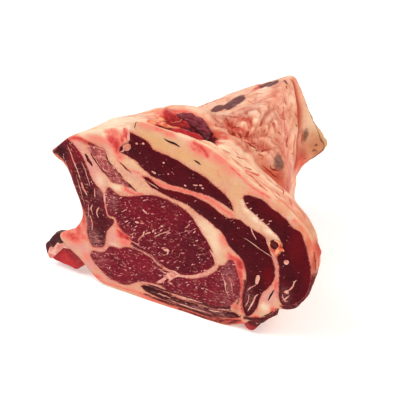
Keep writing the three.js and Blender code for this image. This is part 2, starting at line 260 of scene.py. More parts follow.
def gridFaces(rows, columns, closed=False):
    # Quads of a grid of points stored row by row; a closed grid joins its last column to its first.
    last = columns if closed else columns - 1
    row, column = np.meshgrid(np.arange(rows - 1), np.arange(last), indexing="ij")
    a = (row * columns + column).ravel()
    b = (row * columns + (column + 1) % columns).ravel()
    return np.stack([a, a + columns, b + columns, b], axis=1)


mergeMm = 0.002  # points closer together than this become one


def makePiece(name, parts):
    # Joins lists of (points, faces) in millimetres into one mesh in metres, merges seams and poles,
    # and turns all faces outwards.
    points, faces, start = [], [], 0
    for partPoints, partFaces in parts:
        partPoints = np.asarray(partPoints, float).reshape(-1, 3)
        points.append(partPoints)
        faces.append(np.asarray(partFaces) + start)
        start += len(partPoints)
    mesh = bpy.data.meshes.new(name)
    allFaces = [face for group in faces for face in group.tolist()]
    mesh.from_pydata((np.vstack(points) * metresPerMm).tolist(), [], allFaces)
    work = bmesh.new()
    work.from_mesh(mesh)
    bmesh.ops.remove_doubles(work, verts=work.verts, dist=mergeMm * metresPerMm)
    bmesh.ops.dissolve_degenerate(work, edges=work.edges, dist=mergeMm * metresPerMm / 2)
    bmesh.ops.recalc_face_normals(work, faces=work.faces)
    work.to_mesh(mesh)
    work.free()
    mesh.shade_smooth()
    piece = bpy.data.objects.new(name, mesh)
    bpy.context.scene.collection.objects.link(piece)
    return piece


def meshPoints(piece):  # the piece's points in millimetres
    values = np.empty(len(piece.data.vertices) * 3)
    piece.data.vertices.foreach_get("co", values)
    return values.reshape(-1, 3) / metresPerMm


def meshNormals(piece):
    values = np.empty(len(piece.data.vertices) * 3)
    piece.data.vertex_normals.foreach_get("vector", values)
    return values.reshape(-1, 3)


def paint(piece, name, values):  # stores one number for each point, for a material to read
    layer = piece.data.attributes.new(name, "FLOAT", "POINT")
    layer.data.foreach_set("value", np.clip(values, 0, 1).astype(np.float32))


def cut(piece, cutter):  # takes one closed mesh out of another and throws it away
    modifier = piece.modifiers.new("cut", "BOOLEAN")
    modifier.operation = "DIFFERENCE"
    modifier.solver = "MANIFOLD"
    modifier.object = cutter
    bpy.context.view_layer.update()
    result = bpy.data.meshes.new_from_object(piece.evaluated_get(bpy.context.evaluated_depsgraph_get()))
    piece.modifiers.clear()
    piece.data = result
    mesh = cutter.data
    bpy.data.objects.remove(cutter)
    bpy.data.meshes.remove(mesh)


def finish(piece, material, slot, *nodes):  # material, body and the nodes that the piece stands for
    piece.data.materials.clear()
    piece.data.materials.append(material)
    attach(piece, "root")
    if nodes:
        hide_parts(*nodes)


# The muscles on the front face. Both edges run from the first end to the last end, x and z.
# Patches of red, pale and dark meat: x, z, radius x, radius z, strength. The lean is its look in leanLooks.
muscles = {
    "upperBand": {
        "node": "upper_band", "slot": "dark_meat", "lean": "dark", "dome": 1.4,
        "ends": [(-75, 168), (49, 138)],
        "lowEdge": [
            (-68, 167), (-62, 165), (-56, 163), (-50, 158), (-44, 154), (-38, 151), (-29, 150), (-20, 148),
            (-8, 148), (5, 147.5), (16, 148), (25, 147), (32, 145), (38, 143), (44, 140)],
        "highEdge": [
            (-73, 175), (-68, 179), (-63, 184), (-62, 193), (-55, 193), (-47, 191), (-41, 187), (-37, 182),
            (-28, 180), (-18, 179), (-9, 177), (0, 173), (12, 170), (22, 165), (32, 159), (40, 154),
            (45, 149), (48, 143)],
    },
    "middleBand": {
        "node": "middle_band", "slot": "dark_meat", "lean": "dark", "dome": 1.4,
        "red": [(88, 74, 5, 16, 0.9), (-10, 138, 30, 5, 0.4)], "pale": [(68, 44, 6, 14, 0.4)],
        "ends": [(-49, 148), (65, 20)],
        "lowEdge": [
            (-44, 143), (-40, 139), (-33, 137), (-25, 134.5), (-15, 132.5), (-5, 131), (3, 128.5),
            (10, 125), (17, 121.5), (24, 118.5), (30, 114), (36, 110.5), (40, 106.5), (43, 101), (47, 96),
            (52, 92), (57, 88), (61, 82), (63, 74), (64, 66), (63, 58), (61, 50), (60, 42), (60.5, 34),
            (62, 26)],
        "highEdge": [
            (-43, 149), (-37, 146), (-32, 143), (-25, 141.5), (-15, 142), (-5, 142), (5, 142), (15, 141),
            (22, 139), (30, 135), (37, 131), (43, 128.5), (49, 130.5), (56, 131), (62, 128), (68, 125.5),
            (76, 122.5), (83, 119), (86, 112), (88, 105), (91, 97), (93.5, 88), (94, 78), (91.5, 68),
            (87, 61), (82, 54), (79, 45), (77, 36), (73, 28), (69, 22)],
    },
    "outerMuscle": {
        "node": "outer_muscle", "slot": "dark_meat", "lean": "dark", "dome": 1.4,
        "red": [(117, 122, 9, 26, 0.7), (92, 150, 16, 8, 0.4), (129, 92, 4, 24, 0.5)],
        "pale": [(106, 60, 6, 10, 0.4)], "ends": [(59, 156), (103, 47)],
        "lowEdge": [
            (61, 151), (65, 146), (71, 142), (77, 138), (83, 134), (89, 130), (94, 126), (98, 122),
            (101, 116), (100, 110), (97, 104), (96, 98), (97.5, 91), (98.3, 82), (98.5, 72), (99, 62),
            (99.5, 53)],
        "highEdge": [
            (60, 159), (65, 161), (72, 161), (79, 160), (85, 157), (91, 153), (98, 150), (104, 146),
            (108, 141), (112, 138), (117, 137.5), (120, 135), (122, 129), (125, 121), (128, 111),
            (130.5, 102), (131.5, 92), (131, 82), (129, 72), (125, 63), (120, 56), (112, 50)],
    },
    "eyeMuscle": {
        "node": "eye_muscle", "slot": "eye_meat", "lean": "eye", "dome": 0.9,
        "red": [(-40, 110, 40, 16, 0.4)], "pale": [(-84, 110, 7, 12, 0.6)],
        "dark": [(5, 88, 16, 26, 0.4), (-4, 62, 18, 12, 0.4)], "ends": [(-92, 106), (30, 71)],
        "lowEdge": [
            (-91.3, 98), (-90.5, 92), (-88, 89.5), (-84.5, 90), (-81, 88), (-78, 81), (-73.5, 75.5),
            (-68, 73), (-62.5, 71.5), (-64, 67), (-65, 63), (-58, 61.3), (-50, 59.6), (-42, 57.6),
            (-37, 54), (-32, 50.5), (-27, 47.5), (-21, 46.6), (-14, 46.2), (-7, 46), (0, 47), (6, 50),
            (12, 53.5), (18, 57.5), (23, 62), (27.5, 67)],
        "highEdge": [
            (-92, 114), (-90.5, 121), (-88, 124), (-83, 121.5), (-77, 117.5), (-69, 119), (-62, 121.5),
            (-55, 124), (-48, 127), (-40, 129.5), (-33, 130.5), (-25, 129.5), (-16, 128), (-8, 126),
            (-1, 122), (5, 116.5), (10, 110), (15, 104), (20, 98), (25, 90), (28.5, 80)],
    },
    "lowerMuscle": {
        "node": "lower_muscle", "slot": "light_meat", "lean": "light", "dome": 0.8,
        "red": [(-60, 46, 20, 10, 0.4)],
        "pale": [(46, 62, 8, 18, 0.6), (44, 32, 14, 8, 0.5), (-104, 33, 9, 8, 0.6)],
        "ends": [(-114, 33.5), (50, 82)],
        "lowEdge": [
            (-111, 28), (-105, 22), (-99, 17), (-92, 12.5), (-84, 11), (-75, 10.5), (-68, 12), (-62, 16.5),
            (-55, 20), (-48, 22.5), (-36, 23.5), (-25, 22), (-15, 20.5), (-2, 20.5), (10, 21.5), (22, 21),
            (34, 21.5), (44, 25), (51, 31), (55, 38), (57.5, 46), (58, 55), (56, 65), (53, 75)],
        "highEdge": [
            (-112.5, 38), (-109, 41), (-103, 41.5), (-98, 42.5), (-94.5, 46), (-92, 50.5), (-88, 53),
            (-83, 53.5), (-78, 53.5), (-73, 57), (-67, 59.3), (-60, 58.8), (-51, 57), (-43, 55), (-38, 51),
            (-33, 47.5), (-28, 44.5), (-21, 43.4), (-14, 43), (-7, 42.8), (0, 43.2), (8, 45.8), (15, 49.5),
            (21.5, 54), (28, 60), (32.5, 66), (35, 71), (40, 73), (43, 78), (46, 82)],
    },
    "chineMuscle": {
        "node": "chine_muscle", "slot": "dark_meat", "lean": "chine", "dome": 1.0,
        "red": [(-121, 157, 7, 12, 0.8), (-132, 130, 4, 30, 0.5)],
        "dark": [(-141, 149, 8, 9, 1.0), (-100, 78, 8, 22, 0.6), (-122, 128, 5, 26, 0.5)],
        "pale": [(-106, 55, 9, 12, 1.0), (-114, 74, 4, 14, 0.7), (-98, 116, 5, 8, 0.5)],
        "ends": [(-133, 167), (-110, 45)],
        "lowEdge": [
            (-140.5, 160.5), (-147, 153.5), (-150.5, 148.5), (-147, 144), (-141.5, 141), (-136, 135),
            (-133, 128), (-129.5, 120), (-126, 109), (-123.3, 100), (-120.5, 92), (-117.5, 86), (-116, 78),
            (-115.5, 70), (-116, 62), (-115.5, 55), (-113.5, 49)],
        "highEdge": [
            (-127, 163), (-122, 158.5), (-118.5, 154), (-115.5, 149), (-113, 143), (-110.5, 137),
            (-108.5, 131), (-105.5, 126), (-102, 121.5), (-98, 118), (-95, 114), (-93.3, 106), (-92.8, 98),
            (-91.5, 91), (-88, 87.5), (-83.5, 87), (-84.5, 81), (-88, 76), (-91.5, 71), (-93, 66),
            (-94, 60), (-95.5, 53), (-98, 49), (-103, 46.5)],
    },
    "smallStrip": {
        "node": "small_strip", "slot": "eye_meat", "lean": "pink", "dome": 0.8,
        "ends": [(-111, 163), (-57, 130.5)],
        "lowEdge": [
            (-107, 156.5), (-102, 149), (-97, 142.5), (-91, 138), (-85, 132), (-79, 131), (-73, 132),
            (-66, 130.5)],
        "highEdge": [
            (-104, 167), (-97, 166.5), (-91, 166), (-89.5, 158), (-87.5, 151.5), (-81, 149), (-77, 144),
            (-72.5, 139), (-68, 136.5), (-62, 132.5)],
    },
    "ribLayer": {
        "node": "rib_layer", "slot": "eye_meat", "lean": "rib", "dome": 0.5,
        "pale": [(10, 9, 18, 3, 0.9), (38, 12, 10, 3, 0.5)],
        "dark": [(-44, 15, 12, 5, 1.0), (40, 17, 16, 3, 0.6)], "ends": [(-55, 15.5), (59, 17)],
        "lowEdge": [
            (-50, 11), (-42, 9), (-32, 7.5), (-20, 7), (-8, 6), (6, 6), (20, 6), (34, 8), (44, 10), (52, 13)],
        "highEdge": [
            (-50, 18), (-42, 18.8), (-32, 18.5), (-22, 17), (-10, 15.5), (6, 15.5), (20, 15.5), (34, 17),
            (44, 19), (52, 20)],
    },
}

faceShape = {
    "spacing": 1.5,  # mm between the points of a muscle's face
    "depthSteps": 14,
    "swellSize": 24, "swellHeight": 0.6,  # slow unevenness of the sawn faces
    "grainSize": 5, "grainHeight": 0.14,
    "domeEdge": 4.5,  # mm from a muscle's edge over which its face rises
    "overrun": 4,  # mm by which a channel runs past both faces
    "wobbles": ((7, 0.7, 11), (2.6, 0.45, 19)),  # of the muscles' edges: size, height, seed
    "paintDepth": 3,  # mm behind a face within which a point may belong to it
    "rimWidth": 1.6,
    "patchRagged": 0.1,
}


def faceRelief(points):  # how far a sawn face stands out, from two sizes of value noise
    flat = np.stack([points[..., 0], np.zeros(points.shape[:-1]), points[..., 1]], axis=-1)
    return (faceShape["swellHeight"] * lumps(flat, faceShape["swellSize"], 3)
            + faceShape["grainHeight"] * lumps(flat, faceShape["grainSize"], 5))


def muscleRails(muscle):  # both edges at the same number of points, close enough for the face's grid
    low = [muscle["ends"][0]] + muscle["lowEdge"] + [muscle["ends"][1]]
    high = [muscle["ends"][0]] + muscle["highEdge"] + [muscle["ends"][1]]
    length = np.linalg.norm(np.diff(np.array(high, float), axis=0), axis=1).sum()
    count = int(length / faceShape["spacing"])
    rails = [openCurve(low, count), openCurve(high, count)]
    for seed, rail in enumerate(rails):  # small wobbles, none at the ends
        away = np.sin(np.linspace(0, math.pi, count)) ** 0.5
        flat = np.stack([rail[:, 0], rail[:, 1], np.full(count, 7.0 * seed)], axis=1)
        for axis in (0, 1):
            rail[:, axis] += away * sum(height * lumps(flat, size, first + seed + 4 * axis)
                                        for size, height, first in faceShape["wobbles"])
    return rails


def edgeDistance(points, ring):  # distance to the nearest point of a closed ring, in chunks
    flat = points.reshape(-1, 2)
    parts = [np.sqrt(((chunk[:, None] - ring[None]) ** 2).sum(-1).min(axis=1))
             for chunk in np.array_split(flat, max(1, len(flat) // 2000))]
    return np.concatenate(parts).reshape(points.shape[:-1])


def insideRing(points, ring):  # counts how many sides of the ring a ray to the right crosses
    x, z = points[..., 0].ravel()[:, None], points[..., 1].ravel()[:, None]
    x1, z1 = ring.T
    x2, z2 = np.roll(ring, -1, 0).T
    crosses = (z1 > z) != (z2 > z)
    climb = np.where(z2 == z1, 1, z2 - z1)
    crossed = crosses & (x < (x2 - x1) * (z - z1) / climb + x1)
    return (crossed.sum(axis=1) % 2 == 1).reshape(points.shape[:-1])


for muscle in muscles.values():
    muscle["rails"] = muscleRails(muscle)
    low, high = muscle["rails"]
    muscle["ring"] = np.vstack([low[:-1], high[::-1][:-1]])


def domeHeight(points, muscle):  # 0 at the muscle's edge, rising to its dome's height
    return muscle["dome"] * (1 - np.exp(-edgeDistance(points, muscle["ring"]) / faceShape["domeEdge"]))


def faceHeight(points):  # how far the face stands out at points of the front face, domes included
    height = np.zeros(points.shape[:-1])
    for muscle in muscles.values():
        height += np.where(insideRing(points, muscle["ring"]), domeHeight(points, muscle), 0)
    return height


def onFace(points, height, end):
    # Places points of the front face on the front (-1) or rear (1) face, standing out by a height.
    y = frontY if end < 0 else rearY
    placed = carry(points, y) if end > 0 else points
    depth = y + end * (faceRelief(placed) + height)
    return np.stack([placed[..., 0], depth, placed[..., 1]], axis=-1)


def carriedRing(muscle):  # the muscle's edge carried through the joint, from depth to depth
    ring = muscle["ring"]
    depths = np.linspace(frontY, rearY, faceShape["depthSteps"])
    return [np.insert(carry(ring, y) if y > frontY else ring, 1, y, axis=1) for y in depths]


def makeMuscle(name, muscle):
    # Faces: low edge to high edge, (1 - v) low + v high, raised by relief and dome. Sides: the carried ring.
    low, high = muscle["rails"]
    count = len(low)
    across = int(np.linalg.norm(low - high, axis=1).max() / faceShape["spacing"]) + 2
    v = np.linspace(0, 1, across)[None, :, None]
    flat = (1 - v) * low[:, None] + v * high[:, None]
    height = domeHeight(flat, muscle)
    height[:, 0] = 0
    height[:, -1] = 0
    faces = gridFaces(count, across)
    ring = muscle["ring"]
    sides = np.stack([onFace(ring, 0, -1)] + carriedRing(muscle)[1:-1] + [onFace(ring, 0, 1)])
    parts = [(onFace(flat, height, end), faces) for end in (-1, 1)]
    parts.append((sides, gridFaces(len(sides), len(ring), closed=True)))
    piece = makePiece(name, parts)
    points = meshPoints(piece)
    front = points[:, 1] < frontY + faceShape["paintDepth"]
    rim = np.zeros(len(points))
    rim[front] = np.exp(-edgeDistance(points[front][:, [0, 2]], ring) / faceShape["rimWidth"])
    paint(piece, "rim", rim)
    ragged = faceShape["patchRagged"] * lumps(points, 6, 40)
    for kind in ("red", "pale", "dark"):
        paint(piece, kind, patchesOnFace(points * np.array([1, 0, 1]), muscle.get(kind, []), ragged))
    return piece


def makeChannel(muscle):  # the muscle's form, run on past both faces
    rows = carriedRing(muscle)
    shift = np.array([0, faceShape["overrun"], 0])
    rows = np.stack([rows[0] - shift] + rows + [rows[-1] + shift])
    caps = []
    count = len(muscle["rails"][0])
    for row in (rows[0], rows[-1]):
        lowRail = row[:count]
        highRail = np.vstack([row[:1], row[count:][::-1], row[count - 1:count]])
        v = np.linspace(0, 1, 5)[None, :, None]
        caps.append(((1 - v) * lowRail[:, None] + v * highRail[:, None], gridFaces(count, 5)))
    return makePiece("channel", [(rows, gridFaces(len(rows), rows.shape[1], closed=True))] + caps)


# The wrinkles, streaks and torn places of the outside. Places are x, y and z, sizes mm, directions degrees.
# Each wrinkled place has its middle, its radii and its share. A pair is where something starts and is full.
surface = {
    "columns": 432, "rows": 128, "frontRings": 45, "rearRings": 12, "innerShare": 0.24, "upperWeight": 2.3,
    "wrinkleSize": 12, "wrinkleDepth": 1.2, "fineSize": 5, "fineDepth": 0.45, "leastWrinkled": 0.12,
    "warp": 0.55, "sharpness": 6,  # of the crease lines: a share of their size, and a power
    "bumpSize": 14, "bumpHeight": 1.6,
    "pucker": (24, -21, 172), "foldDepth": 2.2, "starNear": (3, 10), "starFar": (34, 62),
    "starWaves": (5.5, 1.6), "starUnit": 5,  # how many creases round the pucker and outwards, in 5 mm
    "lumpFrom": (-60, -60, 80),  # least x, y and z of the lump at the rear, where the folds are
    "smoothFront": 12, "smoothFoot": (2, 16), "edgeRound": 1.2,
    "puffHeight": 1.1, "puffSize": 0.8, "puffsRound": 7.5, "puffDepth": 3.6, "puffSlant": 1.5,
    "slabRear": (-62, -40), "slabFrom": (-25, 10), "slabTo": (100, 120),
    "torn": {"direction": -28, "spread": 26, "height": 1.3, "rear": (-92, -70)},
    "wrinkled": [
        ((14, -12, 172), (38, 30, 30), 1.0), ((20, 40, 178), (38, 44, 32), 0.8),
        ((40, 14, 130), (20, 46, 46), 0.6), ((-10, 30, 168), (44, 54, 22), 0.5),
        ((-118, 10, 110), (34, 70, 70), 0.75), ((56, -20, 60), (34, 56, 56), 0.6),
        ((-62, 40, 150), (44, 50, 40), 0.6)],
}


# Folds of the lump at the rear that show one by one: points, depth and width in mm.
folds = [
    ([(25, -20, 172), (30, -16, 175), (34, -11, 176)], 3.4, 3.2),
    ([(25, -21, 172), (33, -14, 173), (40, -4, 172)], 3.2, 3.0),
    ([(28, -19, 170), (34, -16, 166), (39, -12, 163)], 2.6, 3.0),
    ([(34, -17, 158), (39, -13, 157), (44, -7, 157)], 3.6, 2.6),
    ([(24, -21, 172), (20, -21, 176), (18, -18, 179)], 3.0, 3.0),
    ([(24, -21, 172), (17, -23, 174), (9, -19, 176), (2, -19, 177)], 3.6, 3.4),
    ([(2, -19, 177), (-4, -16, 180), (-8, -11, 180)], 3.2, 3.2),
    ([(2, -19, 177), (-3, -26, 178), (-6, -31, 182)], 3.2, 3.4),
    ([(2, -19, 177), (6, -24, 173), (14, -25, 173), (22, -24, 171)], 2.8, 3.0),
    ([(37, 9, 178), (40, 9, 173), (42, 10, 168)], 3.0, 3.2), ([(43, 32, 149), (45, 30, 143)], 2.6, 3.0),
    ([(17, 12, 184), (26, 5, 188)], 2.4, 3.0), ([(9, 4, 180), (15, -10, 182)], 2.4, 3.0),
    ([(-8, 9, 173), (1, -4, 178), (3, 3, 178)], 2.6, 3.2), ([(32, 48, 183), (34, 49, 178)], 2.4, 3.0),
    ([(31, 30, 184), (35, 29, 178), (37, 34, 172)], 2.0, 4.0),
    ([(43, -2, 163), (47, 8, 151), (50, 14, 138)], 2.2, 4.0),
    ([(-32, 35, 163), (-17, 22, 168), (-7, 26, 172)], 2.2, 3.4),
    ([(-13, -12, 181), (-5, -17, 180)], 2.4, 3.0),
    ([(27, 78, 187), (37, 71, 170), (41, 67, 158), (43, 62, 140), (44, 58, 120), (43, 55, 101)], 3.6, 5.0)
]


def spot(points, middle, radii, ragged=0):
    # A soft patch: exp of minus the 2.6th power of the distance in radii, its edge pushed about by noise.
    distance = np.sqrt((((points - np.array(middle)) / np.array(radii)) ** 2).sum(-1)) + ragged
    return np.exp(-np.clip(distance, 0, 4) ** 2.6)


def patchesOnFace(flat, patches, ragged):  # the strongest of the patches at each point whose y is 0
    amount = np.zeros(len(flat))
    for x, z, radiusX, radiusZ, strength in patches:
        amount = np.maximum(amount, strength * spot(flat, (x, 0, z), (radiusX, 1, radiusZ), ragged))
    return amount


def atRest(angle, y):
    # The outside before its wrinkles: the middle of the section plus the radius in each direction.
    radius = bodyRadius(angle, y) + flapReach(angle, y)
    direction = np.stack([np.cos(angle), np.sin(angle)], axis=-1)
    base = centreAt(y) + direction * radius[..., None]
    return np.stack([base[..., 0], y, base[..., 1]], axis=-1)


def turnOf(points):  # direction of points from the middle of their section
    middle = centreAt(points[..., 1])
    return np.arctan2(points[..., 2] - middle[..., 1], points[..., 0] - middle[..., 0])


def ontoOutside(points):  # moves points in or out onto the outside at rest
    points = np.asarray(points, float)
    return atRest(turnOf(points), points[..., 1])


def streak(points, curve, width, ragged=0, power=2):
    # A soft line: exp of minus a power of the distance to a curve, in half widths.
    reach = 2.5 * width
    inReach = np.all((points > curve.min(axis=0) - reach) & (points < curve.max(axis=0) + reach), axis=1)
    near = points[inReach]
    distance = np.full(len(near), 1e9)
    for place in curve:
        distance = np.minimum(distance, ((near - place) ** 2).sum(-1))
    uneven = np.broadcast_to(ragged, len(points))[inReach]
    share = np.zeros(len(points))
    share[inReach] = np.exp(-np.maximum(np.sqrt(distance) / (0.6 * width) + uneven, 0) ** power)
    return share


def creaseLines(points, size, seed):  # 1 along the zero lines of warped noise, falling off quickly
    warp = stray(points, 1, size * 1.7, seed)
    noise = lumps(points + surface["warp"] * size * warp, size, seed + 7)
    return (1 - np.abs(noise)) ** surface["sharpness"]


def starFolds(points):
    # Creases that run out from a pucker: crease lines over the angle round it and the log of the distance.
    offset = points - np.array(surface["pucker"])
    reach = np.linalg.norm(offset, axis=-1)
    angle = np.arctan2(offset[..., 1], offset[..., 0] - 0.8 * offset[..., 2])
    around, outwards = surface["starWaves"]
    waves = np.stack([around * np.cos(angle), around * np.sin(angle),
                      outwards * np.log1p(reach / surface["starUnit"])], axis=-1)
    waves += stray(points, 0.25, 9, 70)
    near, far = surface["starNear"], surface["starFar"]
    return creaseLines(waves, 1.5, 27) * rise(reach, *near) * (1 - rise(reach, *far))


def foldLines(points):  # depth in mm of the folds that show one by one
    total = np.zeros(points.shape[:-1])
    flat = points.reshape(-1, 3)
    inLump = np.all(flat > np.array(surface["lumpFrom"]), axis=1)
    near = flat[inLump] + stray(flat[inLump], 0.5, 5, 80)
    depth = np.zeros(len(near))
    for line, deep, width in folds:
        depth = np.maximum(depth, deep * streak(near, ontoOutside(closeCurve(line)), width, power=1.3))
    total.reshape(-1)[inLump] = depth
    return total


def slabStreaks(points, turn):
    # Noise drawn out along the edge of the front slab: quick from front to back, slow round the section.
    depth = points[..., 1] / surface["puffDepth"] + surface["puffSlant"] * turn
    along = np.stack([turn * surface["puffsRound"], depth, 0 * turn], axis=-1)
    return lumps(along, surface["puffSize"], 61)


def onSlab(degrees, y):  # 1 on the band of fat behind the right edge and top of the sawn face
    return (1 - rise(y, *surface["slabRear"])) * rise(degrees, *surface["slabFrom"])


def wrinkling(points):  # how wrinkled the outside is at a point
    amount = np.full(points.shape[:-1], surface["leastWrinkled"])
    for middle, radii, share in surface["wrinkled"]:
        amount = np.maximum(amount, share * spot(points, middle, radii))
    return amount


def outsidePoints(angle, y):
    # The outside at rest, moved in and out along each direction by folds and bumps, and stood on the floor.
    points = atRest(angle, y)
    amount = wrinkling(points)
    inland = rise(y, frontY, frontY + surface["smoothFront"]) * rise(points[..., 2], *surface["smoothFoot"])
    detail = surface["bumpHeight"] * lumps(points, surface["bumpSize"], 21)
    detail -= surface["wrinkleDepth"] * amount * creaseLines(points, surface["wrinkleSize"], 22)
    detail -= surface["fineDepth"] * amount * creaseLines(points, surface["fineSize"], 23)
    detail -= np.maximum(surface["foldDepth"] * starFolds(points), foldLines(points))
    change = inland * detail
    degrees = np.degrees(np.angle(np.exp(1j * angle)))
    slab = rise(y, frontY, frontY + 8) * onSlab(degrees, y) * (1 - rise(degrees, *surface["slabTo"]))
    change += surface["puffHeight"] * slab * slabStreaks(points, angle)
    nub = outside["nub"]
    nubShare = around(degrees, nub) * bell(y, nub["y"], nub["width"]) * rise(y, frontY, frontY + 5)
    change += nub["height"] * nubShare
    torn = surface["torn"]
    tornEdge = (1 - rise(y, *torn["rear"])) * around(degrees, torn)
    change += torn["height"] * tornEdge * lumps(points, 5, 29)
    edge = surface["edgeRound"]
    change -= edge * (1 - rise(y, frontY - edge, frontY + 2 * edge)) ** 2
    points[..., 0] += change * np.cos(angle)
    points[..., 2] = np.maximum(points[..., 2] + change * np.sin(angle), 0)
    return points


def faceDisc(ring, y, rings, end):
    # A sawn face: the ring scaled towards the middle of its section, ring by ring, with the face's relief.
    share = np.append(np.linspace(1, surface["innerShare"], rings), [0.12, 0])[:, None, None]
    middle = centreAt(np.array([y]))[0]
    flat = middle + share * (ring[None][..., [0, 2]] - middle)
    depth = y + end * faceRelief(flat)
    disc = np.stack([flat[..., 0], depth, flat[..., 1]], axis=-1)
    disc[..., 2] = np.maximum(disc[..., 2], 0)
    return disc


slits = [  # cuts in the fat: a line on the front face and its width in mm
    {"line": [(-26, 197), (-20, 194.8), (-14, 194.2), (-7, 192)], "width": 3.5},
    {"line": [(6.5, 182), (10, 181), (14.5, 179)], "width": 3.2},
    {"line": [(87.5, 46), (90, 53), (94, 62)], "width": 2.0},
    {"line": [(-57, 199), (-56, 203), (-55, 207)], "width": 1.2},
]
slitDepth = (-2.6, 2)  # from how far behind the face to how far in front of it a blade reaches


def strips(paths, widths, low, high, end, around=8, ragged=0.0):
    # Lens-shaped strips along paths on a face. Across: half width times cos. Out of the face: from low to
    # high times sin. Both shrink to nothing at the ends as the square root of a half sine.
    paths = np.asarray(paths, float)
    count, rings, _ = paths.shape
    along = np.gradient(paths, axis=1)
    along /= np.linalg.norm(along, axis=2, keepdims=True) + 1e-9
    side = np.stack([-along[..., 1], along[..., 0]], axis=-1)
    swell = np.sqrt(np.clip(np.sin(np.linspace(0, math.pi, rings)), 0, 1))[None, :, None]
    turn = np.linspace(0, 2 * math.pi, around, endpoint=False)
    across = 0.5 * np.asarray(widths, float)[:, None, None] * swell * np.cos(turn)
    inPlane = np.stack([paths[..., 0], 0 * paths[..., 0], paths[..., 1]], axis=-1)
    paths = paths + ragged * swell * np.stack([lumps(inPlane, 3.5, 15 + k) for k in range(2)], axis=-1)
    across = across * (1 + 0.6 * ragged * lumps(inPlane, 2.2, 17))[..., None]
    flat = paths[:, :, None] + side[:, :, None] * across[..., None]
    middle = 0.5 * (low + high)
    height = middle + 0.5 * (high - low) * swell * np.sin(turn)
    points = onFace(flat, faceHeight(flat) + height, end)
    faces = gridFaces(rings, around, closed=True)
    shift = (np.arange(count) * rings * around)[:, None, None]
    return points.reshape(-1, 3), (faces[None] + shift).reshape(-1, 4)


def makeFatBody():
    # The outside as a grid of directions and depths, closed by a disc at each sawn face, with a channel cut
    # for each muscle. Columns stand closer together in the upper part, where the folds are.
    dense = closedCurve(frontOutline, 24)
    weight = 1 + (surface["upperWeight"] - 1) * rise(dense[:, 1], 20, 90)
    outline = evenly(dense, surface["columns"], closed=True, weight=weight)
    offset = outline - np.array(outside["frontCentre"])
    angle = np.arctan2(offset[:, 1], offset[:, 0])
    depths = np.linspace(frontY, rearY, surface["rows"])
    angles, ys = np.meshgrid(angle, depths)
    sheet = outsidePoints(angles, ys)
    front = faceDisc(sheet[0], frontY, surface["frontRings"], -1)
    rear = faceDisc(sheet[-1], rearY, surface["rearRings"], 1)
    sheet[0] = front[0]
    sheet[-1] = rear[0]
    piece = makePiece("fatBody", [(block, gridFaces(block.shape[0], block.shape[1], closed=True))
                                  for block in (sheet, front, rear)])
    for muscle in muscles.values():
        cut(piece, makeChannel(muscle))
    for slit in slits:
        blade = strips([openCurve(slit["line"], 12)], [slit["width"]], *slitDepth, -1)
        cut(piece, makePiece("blade", [blade]))
    piece.data.shade_smooth()
    print("fat body:", len(piece.data.polygons), "faces")
    return piece


